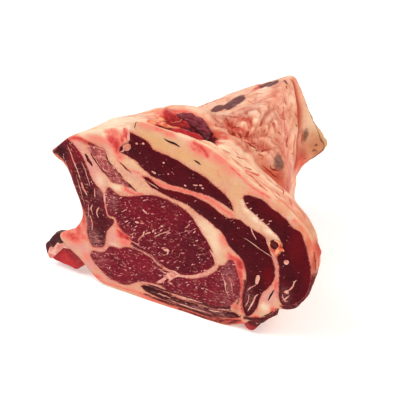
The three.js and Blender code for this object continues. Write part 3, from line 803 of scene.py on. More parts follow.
# Colour patches of the fat. On the sawn face: x, z, radius x, radius z, strength.
facePatches = {
    "blood": [
        (-80, 188, 7.5, 7, 0.5), (-77.5, 175, 5.4, 11, 0.86), (-66, 190, 2, 7, 0.8), (-74, 163, 6, 5, 0.5),
        (-71.5, 183, 2.6, 7, 0.66), (-122, 170.5, 7, 3, 0.62), (-98, 176, 17, 5, 0.36),
        (-44, 206, 14, 5, 0.34), (-30, 206, 9, 4, 0.5), (-19, 204, 8, 5, 0.45), (15, 197, 14, 9, 0.55),
        (34, 192, 13, 9, 0.42), (46, 182, 12, 8, 0.3), (118, 152, 3.4, 3, 0.6), (112, 147, 3, 2.6, 0.55),
        (72, 167, 16, 4, 0.2), (137, 116, 3, 8, 0.85), (40, 104, 7, 12, 0.4), (-134, 50, 14, 8, 0.66),
        (-126, 60, 6, 14, 0.62), (-119, 78, 3.4, 17, 0.6), (-118, 30, 6, 6, 0.34), (-107, 9, 8, 4, 0.55),
        (-75, 73, 7, 8, 0.86), (-79, 80, 3.4, 7, 0.8), (-69, 70, 5, 4.5, 1.0), (-72, 63, 8, 4.5, 0.5),
        (51, 84, 9, 4, 0.7), (57, 79, 5, 8, 1.0), (57, 67, 4, 10, 0.85), (58, 56, 3, 9, 0.7),
        (53, 28, 4.5, 4, 0.55), (61, 40, 3, 14, 0.55), (95.5, 68, 2.6, 9, 0.62), (112, 46, 7, 4, 1.0),
        (94, 36, 4, 6, 0.7), (76, 22, 6, 2.6, 0.9), (-40, 3, 20, 3, 0.55), (6, 1.5, 30, 2.4, 0.7),
        (52, 10, 12, 5, 0.85), (36, 4, 14, 3, 0.8), (93, 108, 6, 5, 0.75), (104, 45, 4, 3, 0.6),
        (-143, 157, 6, 6, 0.85), (-146, 141, 5, 4, 0.3), (-66, 126, 8, 3, 0.5), (-82, 179, 7, 9, 0.78),
        (-86, 187, 6, 4, 0.45), (-121, 54, 8, 6, 0.55), (-62, 185, 2.4, 8, 0.6), (-60, 6, 20, 2.4, 0.4)],
    "pink": [
        (-122, 160, 8, 8, 0.9), (-106, 140, 12, 16, 0.95), (-98, 124, 9, 10, 0.6), (-87, 66, 6, 11, 1.0),
        (-82, 58, 9, 5, 0.7), (-122, 40, 10, 9, 0.9), (-104, 46, 10, 4, 1.0), (-91, 54, 4, 8, 0.9),
        (-118, 68, 3, 16, 0.6), (-146, 48, 6, 4, 0.9), (-136, 38, 12, 3.4, 0.9), (-114, 22, 9, 9, 1.0),
        (-96, 12, 13, 6, 0.8), (-62, 150, 16, 8, 0.4), (86, 48, 8, 12, 0.85), (96, 84, 3, 20, 0.85),
        (92, 56, 5, 9, 0.9), (-24, 38, 7, 8, 0.7), (-90, 168, 10, 8, 0.5), (24, 146, 24, 2.6, 0.6),
        (10, 52, 26, 10, 0.6), (0, 203, 30, 3, 0.3), (40, 196, 10, 5, 0.35)],
    "cream": [
        (22, 112, 16, 9, 0.5), (28, 98, 9, 14, 0.6), (66, 146, 6, 6, 1.0), (76, 138, 9, 5.5, 1.0),
        (90, 128, 9, 5, 1.0), (84, 38, 7, 5, 0.8), (-60, 160, 11, 6, 0.3), (-79, 127, 7, 4, 0.7),
        (108, 150, 8, 4, 0.3), (-98, 128, 5, 8, 0.5), (12, 204, 26, 3, 0.5), (-84, 56, 6, 3, 0.5)],
    "tan": [
        (-35, 189, 28, 12, 0.95), (-2, 184, 22, 9, 0.85), (28, 176, 20, 12, 0.75), (52, 160, 9, 14, 0.65),
        (-60, 158, 11, 6, 0.8), (-70, 154, 6, 4, 0.6), (50, 142, 6, 8, 0.4), (122, 138, 8, 10, 0.8),
        (100, 156, 12, 6, 0.5), (-146, 141, 6, 4, 0.7)],
    "amber": [
        (128, 124, 4, 12, 0.8), (134, 106, 3, 12, 1.0), (118, 142, 5, 4, 0.5), (0, 5, 40, 3, 0.8),
        (48, 7, 14, 4, 0.8), (-20, 9, 30, 3, 0.4)],
    "rust": [
        (-108, 168, 13, 2.6, 0.8), (-40, 20.6, 22, 2.2, 0.5), (8, 19, 20, 2.2, 0.5), (54, 24, 4, 7, 0.5),
        (46, 15, 12, 3, 0.5), (-145, 141, 6, 3, 0.7), (134, 103, 3.4, 9, 0.9), (126, 126, 2.6, 6, 0.4),
        (30, 3.5, 34, 3.4, 0.75), (60, 38, 2, 16, 0.55), (-119.5, 80, 2.4, 14, 0.5), (-66, 177, 5, 3, 0.35),
        (118, 151, 3, 2.6, 0.5)],
    "lean": [
        (135, 82, 5.5, 15, 1.0), (132, 68, 7, 13, 1.0), (124, 57, 8, 9, 1.0), (115, 48, 9, 6, 1.0),
        (106, 45, 6, 3, 0.9), (79, 18, 10, 3, 0.95), (-122, 92, 2, 12, 0.5), (-131, 130, 3, 34, 0.9),
        (-70, 134, 3, 2, 0.5), (-64, 70, 2.4, 4, 0.7), (60, 30, 1.6, 10, 0.5), (-150, 148, 3, 3, 1.0)],
}
# The same on the outside: place, radii, strength.
bodyPatches = {
    "blood": [
        ((-42, -60, 193), (12, 10, 8), 1.0), ((-54, -66, 196), (12, 10, 6), 0.5),
        ((34, 30, 158), (12, 20, 20), 0.3), ((42, 16, 120), (10, 32, 26), 0.4),
        ((-16, -94, 200), (20, 8, 9), 0.6), ((-8, 68, 172), (9, 7, 6), 0.7),
        ((46, 62, 100), (8, 14, 16), 0.5), ((-118, 0, 100), (20, 40, 40), 0.35),
        ((-140, -94, 60), (20, 12, 30), 0.8), ((138, -90, 118), (5, 12, 9), 0.8),
        # The first patch here darkens the lower end of the lump: painted shade.
        ((58, -4, 112), (9, 16, 14), 0.34), ((60, -30, 80), (14, 20, 24), 0.5),
        # The second patch here, at the lower end of the lump, is painted shade.
        ((20, -50, 186), (8, 8, 6), 0.5), ((52, -12, 128), (6, 10, 8), 0.4)],
    "pink": [((-92, -90, 190), (30, 10, 8), 0.2), ((10, 40, 176), (26, 26, 12), 0.3)],
    "cream": [
        ((-92, -84, 192), (44, 18, 14), 1.0), ((16, 2, 184), (13, 11, 7), 0.6),
        ((30, 10, 184), (10, 14, 7), 0.4), ((40, -78, 186), (34, 8, 14), 0.45),
        ((20, -84, 198), (24, 6, 6), 1.0), ((-30, -10, 186), (36, 20, 12), 0.7),
        ((50, 76, 146), (10, 12, 22), 0.5), ((120, -70, 140), (16, 16, 16), 0.35),
        ((-34, -26, 191), (16, 8, 6), 0.6)],
    "tan": [
        ((54, 76, 126), (18, 14, 36), 0.95), ((128, -76, 122), (18, 30, 30), 0.9),
        # The second patch here is painted shade at the lower end of the lump.
        ((46, 74, 160), (6, 12, 14), 0.5), ((54, 4, 118), (12, 20, 16), 0.9),
        ((40, 50, 168), (6, 20, 16), 0.5)],
    "amber": [
        ((48, 64, 104), (10, 16, 14), 0.9), ((56, 2, 112), (12, 20, 16), 0.8),
        # The second patch here is painted shade at the lower end of the lump.
        ((134, -88, 104), (8, 14, 16), 0.9), ((44, -2, 150), (5, 10, 10), 0.4),
        ((40, 38, 166), (8, 24, 16), 0.5), ((45, 18, 150), (7, 22, 22), 0.5),
        ((24, 46, 184), (12, 14, 6), 0.3), ((118, -84, 144), (12, 16, 16), 0.6),
        ((134, -92, 118), (6, 10, 14), 0.6), ((100, -84, 157), (14, 14, 8), 0.4),
        ((24, -36, 175), (26, 16, 14), 0.5)],
    "purple": [
        ((-20, 38, 168), (11.5, 16, 8), 1.0), ((-32, 27, 163), (9, 9, 6), 1.0),
        ((-3, 71, 174), (7, 8, 6), 1.0), ((5, 70, 178), (9, 9, 6), 1.0)],
    "dried": [
        ((50, -2, 140), (8, 9, 9), 1.0), ((47, 68, 134), (3.4, 5, 9), 0.7),
        ((56, 71, 116), (1.8, 3, 2.6), 1.0), ((61, 72, 124), (1.2, 2, 1.6), 0.9),
        ((50, 68, 106), (1.4, 2, 1.6), 0.9)],
    "rust": [
        # Both patches here are painted shade at the lower end of the lump.
        ((59, 0, 112), (8, 18, 15), 0.5), ((54, -7, 127), (6, 8, 6), 0.8),
        ((46, 44, 110), (5, 14, 16), 0.6), ((48, 64, 116), (6, 8, 9), 0.7), ((58, 73, 112), (6, 5, 4), 0.7),
        ((137, -92, 122), (5, 6, 4), 0.9), ((44, -12, 142), (5, 6, 6), 0.5),
        ((135, -92, 114), (6, 10, 14), 0.85), ((56, 72, 124), (12, 8, 16), 0.5),
        ((126, -86, 132), (8, 12, 12), 0.4), ((136, -92, 112), (5, 8, 10), 0.5)],
    "lean": [
        ((-126, -98, 120), (7, 9, 42), 0.9), ((136, -96, 80), (12, 15, 19), 1.0),
        ((130, -96, 62), (12, 15, 16), 1.0), ((120, -96, 50), (14, 14, 10), 1.0),
        ((80, -96, 14), (12, 8, 6), 0.8), ((30, -98, 0), (40, 5, 5), 0.7),
        ((-6, -52, 184), (13, 17, 12), 1.0), ((4, -64, 184), (8, 8, 8), 1.0)],
    # painted shade of the dark hole at the pocket's right end
    "slit": [
        ((-13, -45, 186), (6, 6, 6), 1.0), ((-6, -52, 184), (8, 8, 8), 1.0), ((1, -61, 184), (6, 8, 8), 1.0)],
}


# Thin lines on the front face, drawn as soft streaks: points, width, strength.
faceStreaks = {
    "blood": [
        ([(-130, 168.5), (-120, 171), (-110, 169), (-101, 166.5)], 4.4, 0.8),
        ([(-68, 196), (-69, 188), (-71, 180)], 2.4, 0.75),
        ([(-48, 148), (-30, 145), (-10, 145), (8, 145), (24, 143.5), (38, 137), (48, 133)], 4.4, 0.52),
        ([(-77, 158), (-70, 153), (-62, 151), (-52, 151)], 1.8, 0.6),
        ([(-70, 133), (-68, 127), (-60, 125), (-50, 128)], 2.4, 0.7),
        ([(8, 201), (14, 199), (19, 195), (21, 191)], 5.5, 0.75),
        ([(44, 186), (55, 179), (66, 172), (78, 167), (86, 165)], 2, 0.75),
        ([(64, 164), (78, 164), (92, 158), (104, 151)], 2.2, 0.4),
        ([(46, 88), (52, 78), (57.5, 66), (60, 50), (60.5, 35), (62, 24)], 5, 0.66),
        ([(118, 142), (124, 131), (129, 118), (133, 104)], 2, 0.6),
        ([(121, 146), (128, 132), (133, 120)], 1.6, 0.5),
        ([(-61, 59.8), (-50, 57.8), (-42, 55.2), (-35, 50.6)], 2.2, 0.7),
        ([(-105, 6), (-80, 5), (-50, 5), (-10, 3), (30, 4), (55, 11)], 2, 0.6),
        ([(4, 196), (8, 194)], 2, 0.8), ([(-98, 49), (-106, 46), (-113, 44)], 2, 0.5),
        ([(32, 178), (33, 173)], 1.6, 0.45), ([(40, 162), (40, 155)], 1.4, 0.35)],
    "pink": [
        ([(-130, 166), (-122, 158), (-115, 148), (-107, 136), (-99, 122)], 6, 0.9),
        ([(88, 106), (93, 97), (96, 84), (96.5, 68), (97, 54)], 4, 0.9)],
    "cream": [
        ([(-116, 180), (-100, 187), (-84, 194), (-66, 200)], 10, 1.0), ([(-92, 183), (-86, 186)], 6, 0.8),
        ([(49, 80), (52, 72), (56, 62), (59, 52), (59, 34)], 1.4, 0.8),
        ([(61, 151), (72, 142), (86, 131), (98, 122)], 6, 1.0),
        ([(26, 203), (36, 199), (48, 190), (58, 182)], 3, 0.7), ([(-20, 207), (0, 205), (14, 205)], 3, 0.8),
        ([(-30, 3.4), (-10, 2.6), (10, 3.4)], 1.4, 0.6)],
    "lean": [
        ([(-138, 152), (-147, 147), (-151, 147)], 5, 0.95),
        ([(62.5, 62), (63, 50), (62.5, 38), (64, 27)], 3.2, 0.85),
        ([(56, 52), (57, 45), (56, 37), (55, 31)], 2.8, 0.7),
        ([(-44, 19.8), (-26, 20.4), (-9, 20.4), (13, 20.4), (30, 21.6), (46, 25)], 3.6, 1.0),
        ([(-50, 6.5), (-20, 5), (10, 5), (40, 7), (58, 12)], 2.4, 0.8),
        ([(-10, 1.6), (15, 1.4), (38, 3), (56, 8)], 2.6, 0.75),
        ([(-2, 18.6), (15, 18.4), (32, 19), (46, 22)], 3.8, 1.0),
        ([(64, 18), (72, 19), (80, 21), (88, 26.5), (95, 33), (99, 39)], 4.4, 1.0),
        ([(-62, 60.5), (-50, 58.5), (-42, 55.5), (-36, 51.5), (-30, 47.5)], 3.6, 0.75),
        ([(-122, 95), (-119, 84), (-120, 72)], 2, 0.4),
        ([(133, 118), (135, 108), (135, 98), (134, 90)], 2.4, 0.6),
        ([(-108, 168), (-101, 166), (-96, 163)], 4, 0.85)],
    "tan": [([(-148, 142), (-141, 140)], 4, 0.8)],
}
# The same on the outside: x, y and z.
bodyStreaks = {
    "blood": [
        ([(26, -86, 192), (35, -91, 192)], 2, 0.6),
        ([(57, -89, 180), (60, -85, 176), (65, -79, 172)], 1.8, 0.95),
        ([(34, -76, 190), (43, -77, 186)], 1.6, 0.6), ([(79, -72, 160), (87, -73, 157)], 1.8, 0.8),
        ([(60, -92, 182), (68, -91, 177)], 1.8, 0.8), ([(74, -94, 172), (80, -96, 168)], 1.6, 0.7),
        ([(94, -94, 164), (104, -88, 154)], 1.8, 0.6), ([(-18, 82, 165), (-6, 71, 172)], 2.6, 0.8),
        ([(-52, -46, 195), (-40, -41, 193), (-28, -38, 190), (-20, -38, 187), (-13, -38, 185)], 8, 0.6),
        ([(29, 40, 170), (36, 30, 158), (38, 20, 146)], 3, 0.6), ([(42, 50, 140), (43, 44, 120)], 3, 0.6),
        ([(-2, -18, 179), (13, -20, 176), (25, -20, 173), (33, -17, 163), (43, -9, 156)], 2.2, 0.7),
        ([(0, -48, 183), (10, -44, 181), (23, -40, 176), (33, -36, 166), (43, -32, 156)], 7, 0.6),
        ([(2, -46, 185), (12, -54, 187), (20, -62, 188)], 5, 0.6)],
    "amber": [
        ([(6, -52, 187), (18, -57, 188), (30, -56, 185), (40, -52, 177), (47, -46, 166)], 9, 0.75),
        ([(-2, -46, 184), (10, -42, 181), (23, -37, 176), (34, -32, 165), (43, -27, 155), (49, -18, 138),
         (54, -8, 122)], 15, 1.0),
        ([(27, 78, 187), (37, 71, 170), (41, 67, 158), (43, 62, 140), (44, 58, 120)], 4, 0.6)],
    "dried": [
        ([(41, 82, 160), (53, 79, 140), (64, 76, 124), (67, 75, 117), (60, 74, 107),
         (50, 72, 100)], 2.6, 0.75)],
    "rust": [
        ([(44, 66, 140), (45, 66, 128), (46, 65, 112)], 2.4, 0.6),
        ([(37, 71, 170), (41, 64, 156)], 2.4, 0.5)],
    "purple": [([(24, 66, 187), (17, 72, 184)], 2.2, 0.8)],
}


# Where the paint that follows the form starts and where it is full. Shares, unless a unit is named.
painting = {
    "frontTurn": (0.35, 0.75), "rearTurn": (0.5, 0.9),  # how squarely a sawn point faces forward or back
    "ragged": ((6, 0.08, 40), (2.5, 0.05, 50)),  # noise of the patches' edges: size in mm, height, seed
    "mottled": (-0.4, 0.5), "mottledLeast": 0.35, "mottledUpTo": 0.5,
    "pocketBlood": (0.12, 0.4),
    # In the pocket: from how deep on, and the directions between which it fades out at the left end.
    # The slit paint in the pocket is painted shade of its deep, dark hole.
    "pocket": {"lean": {"from": 0.42, "leftEnd": (90, 99)}, "slit": {"from": 0.7, "leftEnd": (82, 92)}},
    "pocketRightEnd": (74, 86), "pocketRightShare": 0.22,
    "slitShadeDepths": (0.9, 8),  # painted shade inside the slits: mm behind the front face
    "creaseBloodAndShadeShares": (0.62, 0.4, 0.6), "foldBloodAndShadeDepth": 3.6,
    "paintedHighlight": (-0.6, 0.7), "redStreak": (0.2, 0.6), "paleStreak": (0, 0.4),
    "meatEdge": 2.2,  # mm
}


def paintFat(piece):
    # Each paint is the strongest of its patches and streaks. The sawn faces and the outside have their own.
    points = meshPoints(piece)
    normals = meshNormals(piece)
    onFront = points[:, 1] < frontY + faceShape["paintDepth"]
    front = rise(-normals[:, 1], *painting["frontTurn"]) * onFront
    rear = rise(normals[:, 1], *painting["rearTurn"]) * (points[:, 1] > rearY - faceShape["paintDepth"])
    sawn = np.maximum(front, rear)
    flat = points * np.array([1, 0, 1])
    ragged = sum(height * lumps(points, size, seed) for size, height, seed in painting["ragged"])
    mottled = rise(lumps(points, 8, 52) + 0.5 * lumps(points, 3, 53), *painting["mottled"])
    mottled = painting["mottledLeast"] + (1 - painting["mottledLeast"]) * mottled
    turn = turnOf(points)
    degrees = np.degrees(turn)
    rest = atRest(turn, points[:, 1])
    hollow = pocketShare(turn, points[:, 1])
    slitShade = np.zeros(len(points))
    # Points on the walls inside the slits take the slit paint: painted shade.
    for slit in slits:
        line = openCurve(slit["line"], 12)
        slitShade = np.maximum(slitShade, edgeDistance(points[:, [0, 2]], line) < 0.5 * slit["width"] + 0.4)
    least, most = painting["slitShadeDepths"]
    slitShade *= (points[:, 1] > frontY + least) * (points[:, 1] < frontY + most)
    for name in ("blood", "pink", "cream", "tan", "amber", "rust", "lean", "purple", "dried", "slit"):
        onFaces = patchesOnFace(flat, facePatches.get(name, []), ragged)
        for line, width, strength in faceStreaks.get(name, []):
            curve = np.insert(closeCurve(line), 1, 0, axis=1)
            onFaces = np.maximum(onFaces, strength * streak(flat, curve, width, ragged))
        onBody = np.zeros(len(points))
        for middle, radii, strength in bodyPatches.get(name, []):
            patch = strength * spot(rest, ontoOutside(middle), radii, ragged)
            onBody = np.maximum(onBody, patch * (mottled if strength <= painting["mottledUpTo"] else 1))
        for line, width, strength in bodyStreaks.get(name, []):
            curve = ontoOutside(closeCurve(line))
            onBody = np.maximum(onBody, strength * streak(rest, curve, width, ragged))
        if name == "blood":
            onBody = np.maximum(onBody, rise(hollow + ragged, *painting["pocketBlood"]))
        if name in painting["pocket"]:
            look = painting["pocket"][name]
            rightEnd = painting["pocketRightShare"] * (1 - rise(degrees, *painting["pocketRightEnd"]))
            inPocket = rise(hollow + ragged + rightEnd, look["from"], look["from"] + 0.2)
            onBody = np.maximum(onBody, inPocket * (1 - rise(degrees, *look["leftEnd"])))
        cutFace = front if name in ("lean", "tan") else sawn
        amount = cutFace * onFaces + (1 - sawn) * onBody
        paint(piece, name, np.maximum(amount, slitShade) if name == "slit" else amount)
    amount = wrinkling(rest)
    # Darker red along the creases and folds: blood held in them, and painted shade of the creases.
    wide, fine, star = painting["creaseBloodAndShadeShares"]
    creaseBloodAndShade = amount * (wide * creaseLines(rest, surface["wrinkleSize"], 22)
                       + fine * creaseLines(rest, surface["fineSize"], 23)) + star * starFolds(rest)
    creaseBloodAndShade = np.maximum(creaseBloodAndShade, foldLines(rest) / painting["foldBloodAndShadeDepth"])
    paint(piece, "creaseBloodAndShade", (1 - sawn) * creaseBloodAndShade)
    # A painted highlight on the raised parts of the wrinkled outside, away from its creases.
    raised = lumps(rest, surface["bumpSize"], 21) + 0.6 * lumps(rest, 6, 28) - 1.6 * creaseBloodAndShade
    paint(piece, "paintedHighlight", (1 - sawn) * amount * rise(raised, *painting["paintedHighlight"]))
    paint(piece, "fold", (1 - sawn) * amount)
    slab = (1 - sawn) * onSlab(degrees, points[:, 1])
    puffs = slabStreaks(rest, turn)
    paint(piece, "redStreak", slab * rise(-puffs, *painting["redStreak"]))
    paint(piece, "paleStreak", slab * rise(puffs, *painting["paleStreak"]))
    meatEdge = np.full(len(points), 99.0)
    for muscle in muscles.values():
        near = edgeDistance(flat[onFront][:, [0, 2]], muscle["ring"])
        meatEdge[onFront] = np.minimum(meatEdge[onFront], near)
    paint(piece, "meatEdge", np.exp(-(meatEdge + 4 * np.abs(ragged)) / painting["meatEdge"]))
    paint(piece, "sawn", sawn)


# Veins, seams and sinews of fat that cross the muscles: points and width in mm.
fatLines = [
    ([(-135, 164), (-131, 154), (-128, 146), (-125, 138), (-121, 127), (-119.5, 121)], 1.6),
    ([(-119.5, 123), (-116.5, 114), (-112.5, 106)], 2.6),
    ([(-120, 148), (-115, 138), (-111, 126), (-109, 116)], 0.9),
    ([(-126, 132), (-122, 118), (-119, 104), (-116, 92)], 0.8),
    ([(-113, 100), (-112, 92), (-114, 80)], 1.0), ([(72, 141), (75.5, 143.5)], 1.3),
    ([(78, 137), (81.5, 140)], 1.3), ([(84, 134), (87.5, 137.5)], 1.3), ([(66, 146), (69, 149)], 1.2),
    ([(86, 139.5), (90, 141)], 1.2), ([(62, 151), (65, 153.5)], 1.1),
    ([(118, 84), (115, 78), (112, 70), (107, 65)], 1.3),
    ([(103, 62), (104, 57), (106.5, 53), (110, 55)], 1.2),
    ([(-18, 100), (-20, 95), (-26, 90), (-32, 86), (-39, 81)], 1.5), ([(3, 110), (0, 106), (-3, 103)], 1.4),
    ([(-104, 119), (-104.5, 113), (-104, 107)], 1.6), ([(-99, 99), (-103, 90), (-100, 83)], 1.6),
    ([(-94, 119), (-93.5, 107), (-92, 95), (-89.5, 87)], 2.2), ([(-112, 86), (-109, 76), (-110, 64)], 1.5),
    ([(-107, 100), (-109, 92), (-107, 84)], 1.2), ([(-57, 69), (-53, 76), (-50, 80), (-47.5, 88)], 1.3),
    ([(-48, 81), (-44, 85), (-40, 86)], 1.8), ([(-67, 67), (-59, 66.5), (-52, 64)], 1.3),
    ([(-67, 61), (-58, 60), (-50, 58), (-40, 54.5), (-33, 49), (-24, 44)], 1.4),
    ([(31, 74), (29.5, 69), (26, 63), (21, 57.5), (14, 52), (5, 47.5), (-5, 44), (-14, 42.5),
     (-22, 41.5)], 3.6), ([(24, 88), (29, 79), (30.5, 71)], 2.4),
    ([(64, 129), (68, 125), (71, 119), (75, 113)], 1.3), ([(84, 120), (86, 112), (90, 104), (94, 97)], 1.7),
    ([(58, 113), (66, 111), (74, 107), (83, 103), (90, 99), (94, 95)], 0.9),
    ([(65, 51), (70, 57), (76, 63)], 1.3), ([(66, 25), (71, 37), (75, 48), (79, 53)], 1.8),
    ([(63, 30), (67, 40), (68, 50)], 1.1), ([(102, 52), (107, 57), (111, 63)], 1.6),
    ([(104, 62), (107, 66), (110, 68)], 1.8), ([(108, 66), (111, 69), (113, 74)], 1.6),
    ([(102, 58), (105, 55), (109, 53)], 1.2),
    ([(-38, 25.5), (-32, 28.5), (-27, 33), (-24, 39), (-21, 44)], 4.6),
    ([(-10, 43.5), (-16, 40.5), (-20, 36), (-23, 31)], 4), ([(-27, 44.5), (-18, 45.5), (-6, 44.5)], 3),
    ([(-24, 33), (-20, 31), (-16, 31.5)], 2.2), ([(-83, 88), (-80, 79), (-74, 73)], 1.2),
    ([(-91, 52), (-96, 47), (-101, 45)], 1.6), ([(-106, 158), (-99, 148), (-92.5, 140.5)], 1.2),
    ([(-68, 131), (-60, 129), (-52, 128)], 1.4),
    ([(-64, 14), (-58, 18.5), (-50, 21.3), (-36, 22), (-22, 20.5)], 2.2),
    ([(-22, 19), (-8, 18), (8, 18.6), (20, 19.4)], 2), ([(-36, 13), (-28, 12.8), (-18, 12.4)], 1.8),
    ([(-24, 9.4), (-8, 8.6), (10, 8.8), (30, 9.8)], 1.5), ([(22, 13), (30, 13.6), (38, 15.6)], 1.5),
    ([(32, 17), (40, 19.5), (48, 22)], 1.3), ([(36, 66), (41, 55), (43, 44), (47, 36)], 1.3),
    ([(46, 62), (49, 52), (50, 42)], 1.1), ([(-75, 168), (-69, 172), (-66, 180)], 2),
    ([(-46, 145), (-38, 143), (-30, 139)], 1), ([(-62, 184), (-64, 189), (-62, 193)], 2.2)
]

# Spots and scraps of fat, or of meat: x, z, half length, half width, turn in degrees.
fatSpots = [
    (-63.5, 189, 4.4, 1.4, 80), (-23.5, 70.5, 3.4, 1.8, 10), (106, 99, 3.2, 2.4, 40),
    (-20, 39.5, 6, 3.4, 40), (-27, 72, 2.4, 0.8, 30), (-22, 67, 2.4, 0.8, 70), (-47, 109, 3, 1, -35),
    (-56, 93.5, 2.4, 1.1, 10), (-50, 94, 2.6, 0.9, 15), (-28, 97.5, 1.8, 1.1, 20),
    (108, 64.5, 2.2, 1.4, 20), (76.5, 69, 6, 2, 80), (-47, 186, 1.4, 1.1, 0), (-54, 184, 1.3, 1.1, 0),
    (-36, 157, 2.2, 1.1, -20), (-25, 171, 1.2, 1, 0), (-2, 152, 1.3, 1, 0), (9, 156, 2.4, 0.9, 10),
    (15, 157.5, 2, 0.9, 10), (17, 155, 1.3, 0.8, 0), (76, 137, 1.2, 0.8, 0), (-20, 160, 1, 0.8, 0)
]
darkSlivers = [
    ([(-114.5, 156.5), (-111.5, 151), (-108.5, 146.5), (-105.5, 142)], 5),
    ([(-69, 137.5), (-63, 133), (-55, 128)], 2.6),
    ([(-76, 158), (-70, 153), (-66, 150.5), (-60, 147.5)], 2),
    ([(-90, 163), (-87.5, 153.5), (-81, 150)], 2),
    ([(-109.5, 160), (-104, 152.5), (-98, 145.5), (-92, 139.5), (-85, 133)], 2.8),
    ([(-77, 145), (-71, 139.5)], 1.6), ([(-46, 7), (-20, 5.8), (10, 5.8), (42, 8)], 1.5),
    ([(-57, 7), (-30, 4), (-8, 3)], 1.1), ([(46, 11), (56, 16), (61, 21)], 1.4),
    ([(82, 26), (88, 30), (94, 37)], 2), ([(70, 19), (80, 22), (88, 26)], 2.6)
]

# Marbling of each muscle's two faces: how many flecks, their length and width in mm, their lie and its
# spread in degrees. The first of each pair of counts is of the bright flecks, the second of the fine ones.
marbling = {
    "upperBand": {"counts": (26, 30), "length": (0.8, 2.2), "width": (0.5, 0.9), "lie": -15, "spread": 40},
    "middleBand": {"counts": (30, 50), "length": (0.8, 2.4), "width": (0.5, 0.9), "lie": 30, "spread": 45},
    "outerMuscle": {"counts": (10, 24), "length": (0.8, 1.8), "width": (0.5, 0.8), "lie": 60, "spread": 40},
    "eyeMuscle": {"counts": (170, 320), "length": (1.4, 7), "width": (0.6, 1.5), "lie": 38, "spread": 20},
    "lowerMuscle": {"counts": (170, 420), "length": (1.2, 5.5), "width": (0.5, 1.2), "lie": 16, "spread": 28},
    "chineMuscle": {"counts": (30, 90), "length": (1.2, 4.5), "width": (0.5, 1.1), "lie": -70, "spread": 30},
    "smallStrip": {"counts": (40, 50), "length": (1.4, 5), "width": (0.5, 1.3), "lie": -45, "spread": 20},
    "ribLayer": {"counts": (14, 30), "length": (2, 7), "width": (0.4, 0.8), "lie": 3, "spread": 10},
}


fleckShape = {"inset": 0.04, "lieShare": 0.6, "shortness": 2.4, "leastWidth": 0.75, "bend": 0.25}


def scatterFlecks(muscle, look, count, size, dice):
    # Places between the muscle's rails, kept in step with its width there, and a short bent path at each.
    low, high = muscle["rails"]
    width = np.linalg.norm(high - low, axis=1)
    share = np.cumsum(width) / width.sum()
    along = np.interp(dice.random(count), share, np.arange(len(low)))
    before = along.astype(int)
    after = np.minimum(before + 1, len(low) - 1)
    part = (along - before)[:, None]
    across = dice.uniform(fleckShape["inset"], 1 - fleckShape["inset"], count)[:, None]
    lowPlace = (1 - part) * low[before] + part * low[after]
    highPlace = (1 - part) * high[before] + part * high[after]
    middle = (1 - across) * lowPlace + across * highPlace
    turn = np.radians(look["lie"] + look["spread"] * dice.normal(0, fleckShape["lieShare"], count))
    shortest, longest = look["length"]
    length = size * (shortest + (longest - shortest) * dice.random(count) ** fleckShape["shortness"])
    least = fleckShape["leastWidth"]
    widths = size * dice.uniform(*look["width"], count) * (least + (1 - least) * length / longest)
    steps = np.linspace(-0.5, 0.5, 5)[None, :, None]
    direction = np.stack([np.cos(turn), np.sin(turn)], axis=-1)[:, None]
    sideways = np.stack([-np.sin(turn), np.cos(turn)], axis=-1)[:, None]
    bend = dice.uniform(-fleckShape["bend"], fleckShape["bend"], (count, 1, 1))
    paths = middle[:, None] + length[:, None, None] * (steps * direction + bend * steps ** 2 * sideways)
    return paths, widths


def blob(middle, halves, turn, seed, rough=0.18):
    # An uneven egg: a sphere's grid times half sizes, each radius changed by noise, turned about Y.
    rows, columns = 9, 14
    polar, round_ = np.meshgrid(np.linspace(0, math.pi, rows),
                                np.linspace(0, 2 * math.pi, columns, endpoint=False), indexing="ij")
    ball = np.stack([np.sin(polar) * np.cos(round_), np.cos(polar), np.sin(polar) * np.sin(round_)], axis=-1)
    ball = ball * (1 + rough * lumps(ball * 10, 8, seed))[..., None] * np.array(halves)
    angle = math.radians(turn)
    x = ball[..., 0] * math.cos(angle) - ball[..., 2] * math.sin(angle)
    z = ball[..., 0] * math.sin(angle) + ball[..., 2] * math.cos(angle)
    return np.stack([x, ball[..., 1], z], axis=-1) + np.array(middle), gridFaces(rows, columns, closed=True)


def tube(path, radii, seed, rough, around=14):
    # A round profile carried along a smooth path, its radius read off a list and changed by noise.
    line = openCurve(path, 36)
    along = np.gradient(line, axis=0)
    along /= np.linalg.norm(along, axis=1, keepdims=True)
    side = np.cross(along, [0, 0, 1.0])
    side /= np.linalg.norm(side, axis=1, keepdims=True)
    up = np.cross(side, along)
    radius = np.interp(np.linspace(0, 1, len(line)), np.linspace(0, 1, len(radii)), radii)
    turn = np.linspace(0, 2 * math.pi, around, endpoint=False)
    ring = np.cos(turn)[None, :, None] * side[:, None] + np.sin(turn)[None, :, None] * up[:, None]
    change = 1 + rough * lumps(line[:, None] + radius[:, None, None] * ring, 5, seed)
    points = line[:, None] + (radius[:, None] * change)[..., None] * ring
    return points, gridFaces(len(line), around, closed=True)


